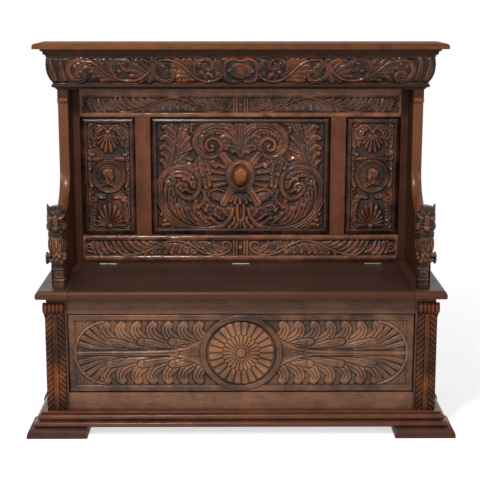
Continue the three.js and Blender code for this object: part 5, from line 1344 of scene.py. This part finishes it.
for rings in knobs:
    rings[..., 0] = np.clip(rings[..., 0], figure_low[0] + clearance, figure_high[0])
block_rings = np.stack((figure_x + flat_x, flat_y, figure_foot + figure.z[:, None] + 0 * flat_x), -1)
parts = [closed_column(block_rings)] + [closed_column(rings) for rings in knobs]
knob_points = sum(len(corners) for corners, _ in parts[1:])
tones = np.concatenate((np.clip(figure.h / 12, 0, 1).ravel(), [0.3, 0.5], np.full(knob_points, 0.75)))
hollows = np.concatenate((figure.hollow().ravel(), [0.5, 0.5], np.full(knob_points, 0.6)))
for side_name, side in sides.items():
    faces, offset = [], 0
    for part_corners, part_faces in parts:
        faces += [tuple(offset + k for k in face[::side]) for face in part_faces]
        offset += len(part_corners)
    corners = np.vstack([part_corners for part_corners, _ in parts]) * (side * MM, MM, MM)
    carved_figure = new_piece(f"carved_arm_figure_{side_name}", corners, faces, relief=tones, hollow=hollows)
    stand_for(carved_figure, "carved_oak", figure_oak, f"arm_figure_{side_name}")

# Cornice: a bead, a bed moulding and a top board, mitred round the front and the sides, with a soffit
# board that closes the box from below. Waxed oak, rubbed on its edges.
# This near-black stain is partly painted shade, under the overhang of the top board.
cornice_oak = plain_oak("oak_cornice", "x", stain(28, 16, 11), stain(54, 32, 22), stain(160, 98, 62))
dress(["frieze_bead", "cornice_moulding"], cornice_oak, fine_arris)
cornice_board_oak = plain_oak("oak_cornice_board", "x", stain(62, 34, 15), stain(110, 63, 29),
                              stain(158, 94, 48), gloss=0.6)
dress(["cornice_top", "cornice_soffit"], cornice_board_oak)

# Frieze: a swelling board round the front and the sides, carved with a running stem that winds round
# leaves and volutes, upright tongues at the corners, and a cabochon in straps at the middle.
frieze_low, frieze_high = extent("frieze_front")
wall_x, wall_y = extent("frieze_right")[0][0], frieze_high[1]
frieze_bottom, frieze_top = frieze_low[2], frieze_high[2]
frieze_half_tall = (frieze_top - frieze_bottom) / 2
frieze_level = 5.0
frieze_edge, edge_rise = 2.5, 3.6


def frieze_out(rise):
    """How far the swelling frieze stands out from the wall of the box, at a share of its height."""
    return np.interp(rise, [0, 0.12, 0.3, 0.5, 0.72, 0.9, 1.0], [13.8, 20.8, 27.8, 32.4, 35.2, 34.2, 30.4])


def tongue(relief, x0):
    """An upright tongue with a round end above and a swelling below."""
    relief.stroke([(x0, 40), (x0, 10), (x0, -16), (x0, -30)], (4.0, 6.0, 10.5, 7.0), (4.0, 4.4, 5.0, 4.4),
                  ridges=2, gap=2.0)
    relief.dome((x0, 38), 6.0, 4.6)


def running_scrolls(relief):
    """The left half of the frieze's carving."""
    for x0 in (-603, -572):
        tongue(relief, x0)
    for points, widths in [
            ([(-540, 30), (-516, 10), (-516, -14), (-530, -24)], (8, 16, 14, 8)),
            ([(-400, -30), (-440, -8), (-474, 8), (-492, 30)], (8, 24, 26, 12)),
            ([(-450, 38), (-434, 18), (-414, -10)], (8, 16, 8)),
            ([(-410, 0), (-392, 20), (-370, 24)], (8, 16, 10)),
            ([(-276, -8), (-310, -12), (-334, 6), (-332, 32)], (8, 24, 24, 12)),
            ([(-360, -32), (-330, -30), (-300, -20)], (6, 12, 8)),
            ([(-262, 22), (-246, 4), (-244, -16)], (8, 16, 12)),
            ([(-136, -18), (-176, -12), (-206, 4), (-212, 30)], (8, 22, 22, 8)),
            ([(-204, -34), (-170, -28), (-140, -18)], (8, 14, 8)),
            ([(-200, 38), (-172, 24), (-152, 2)], (6, 14, 8)),
            ([(-138, 22), (-118, 10), (-112, -16)], (8, 14, 12)),
            ([(-70, 36), (-70, 6), (-76, -24)], (6, 14, 8))]:
        relief.feather(points, widths, 3.6, 15.0)
    for tip, foot in (((-488, 37), (-450, 2)), ((-463, 37), (-432, -6)), ((-436, 38), (-414, 6)),
                      ((-496, 9), (-440, -6)), ((-484, -6), (-428, -14)), ((-474, -23), (-418, -20)),
                      ((-452, -35), (-408, -27)), ((-332, 35), (-296, 6)), ((-340, 17), (-300, -8)),
                      ((-346, -2), (-306, -16)), ((-354, -20), (-316, -26)), ((-314, 36), (-286, 22)),
                      ((-324, -38), (-292, -12)), ((-298, -38), (-276, 0)), ((-212, 16), (-168, -2)),
                      ((-213, -4), (-160, -12)), ((-206, -22), (-150, -20)), ((-184, -36), (-138, -28)),
                      ((-206, 37), (-168, 12)), ((-182, 38), (-154, 4)), ((-164, 39), (-146, 0)),
                      ((-128, -8), (-112, -32)), ((-104, -12), (-90, -32)), ((-80, 33), (-62, 4)),
                      ((-73, -12), (-60, -28)), ((-520, 38), (-498, 33))):
        relief.leaf(bent(foot, tip, 0.55, 0.65), 7.0, 5.0)
    stem = [(-497, 31), (-469, 26), (-445, 7), (-421, -14), (-392, -31), (-359, -35), (-321, -26),
            (-292, -2), (-278, 24), (-254, 36), (-221, 35), (-187, 19), (-163, -7), (-139, -28),
            (-111, -38), (-77, -31), (-58, -12), (-60, 12)]
    relief.stroke(stem, (5.0,), 5.4, gap=1.8)
    for volute in ([(-497, 31), (-526, 34), (-545, 16), (-552, -7), (-538, -31), (-514, -34), (-500, -19),
                    (-509, -5), (-526, -9), (-521, -21)],
                   [(-404, -24), (-414, 7), (-404, 31), (-378, 38), (-354, 31), (-349, 12), (-361, 0),
                    (-376, 9), (-376, 22)],
                   [(-254, 36), (-273, 16), (-280, -7), (-268, -28), (-242, -38), (-221, -26), (-218, -9),
                    (-232, -2), (-244, -12)],
                   [(-149, -8), (-147, 21), (-130, 36), (-106, 39), (-92, 26), (-94, 7), (-111, 2),
                    (-120, 14), (-112, 23)]):
        relief.stroke(volute, (5.0, 7.0, 7.5, 7.0, 6.0), 5.4, ridges=2, gap=1.4)
    for x0, z0 in ((-525, 14), (-388, -2), (-246, 14), (-122, -8), (-283, 37)):
        relief.dome((x0, z0), (8.0, 7.0), 5.2)
    relief.stroke([(-16, 40), (-36, 36), (-50, 22), (-50, -24), (-36, -38), (-14, -40)], (5.0,), 5.0,
                  ridges=2, gap=2.0, sunk=0.4)
    relief.mirror()
    relief.dome((0, -2), (40, 26), 3.6, power=10)
    relief.dome((0, -2), (18, 17), 6.0, gap=2.0)
    relief.stroke([(-20, 38), (0, 34), (20, 38)], (5.0,), 5.0)
    for side in (1, -1):
        relief.leaf(sided([(22, -2), (30, -2), (38, -2)], side), 6.0, 5.2)


frieze_oak = carved_oak("oak_carved_frieze", "x", carving_stops, shine=0.24, shift=-0.31)
frieze_pitch = 1.55
frieze_lines = even(-frieze_half_tall, frieze_half_tall, 1.5)
rise = ((frieze_lines + frieze_half_tall) / (2 * frieze_half_tall))[:, None]
from_end = np.minimum(rise, 1 - rise) * 2 * frieze_half_tall


def finish_frieze(relief):
    """Evens out a frieze, with a plain edge below and above, and gives how far it stands out and how high."""
    relief.h = smoothed(np.where(from_end < frieze_edge, edge_rise, relief.h), 1)
    stand = frieze_out(rise) + np.minimum(relief.h - frieze_level, 0.0)
    along, z = relief.grid()
    return along, stand, z + frieze_bottom + frieze_half_tall


front = Relief(even(-wall_x, wall_x, frieze_pitch), frieze_lines)
running_scrolls(front)
x, stand, level_z = finish_frieze(front)
face = np.stack((x * (wall_x + stand) / wall_x, wall_y - stand, level_z), -1) * MM
back = np.stack((x, np.full(x.shape, wall_y + clearance), level_z), -1) * MM
frieze = carved_sheet("carved_frieze_front", face, back, front.height(frieze_level), front.hollow())
stand_for(frieze, "carved_oak", frieze_oak, "frieze_front")

side_long = extent("frieze_left")[1][1] - wall_y
flank = Relief(even(0.0, side_long, frieze_pitch), frieze_lines)
for x0 in (15, 42, side_long - 14):
    tongue(flank, x0)
for tip, foot in (((64, 34), (76, 4)), ((118, 30), (104, 4)), ((62, -32), (80, -8)),
                  ((116, -34), (100, -12))):
    flank.leaf(bent(foot, tip, 0.5, 0.7), 6.5, 4.8)
flank.stroke([(66, -38), (66, 6), (80, 32), (102, 32), (112, 10), (102, -16), (84, -14), (84, 4)], (5.0,),
             5.4, ridges=2, gap=1.8, sunk=0.4)
flank.dome((94, 6), 8.0, 5.4)
along, stand, level_z = finish_frieze(flank)
mitre = along / side_long * (side_long + stand) - stand
for side_name, side in sides.items():
    face = np.stack((side * (wall_x + stand), wall_y + mitre, level_z), -1) * MM
    back = np.stack((np.full(along.shape, side * (wall_x - clearance)), wall_y + along, level_z), -1) * MM
    frieze = carved_sheet(f"carved_frieze_{side_name}", face, back, flank.height(frieze_level),
                          flank.hollow())
    stand_for(frieze, "carved_oak", frieze_oak, f"frieze_{side_name}")

bpy.context.view_layer.update()
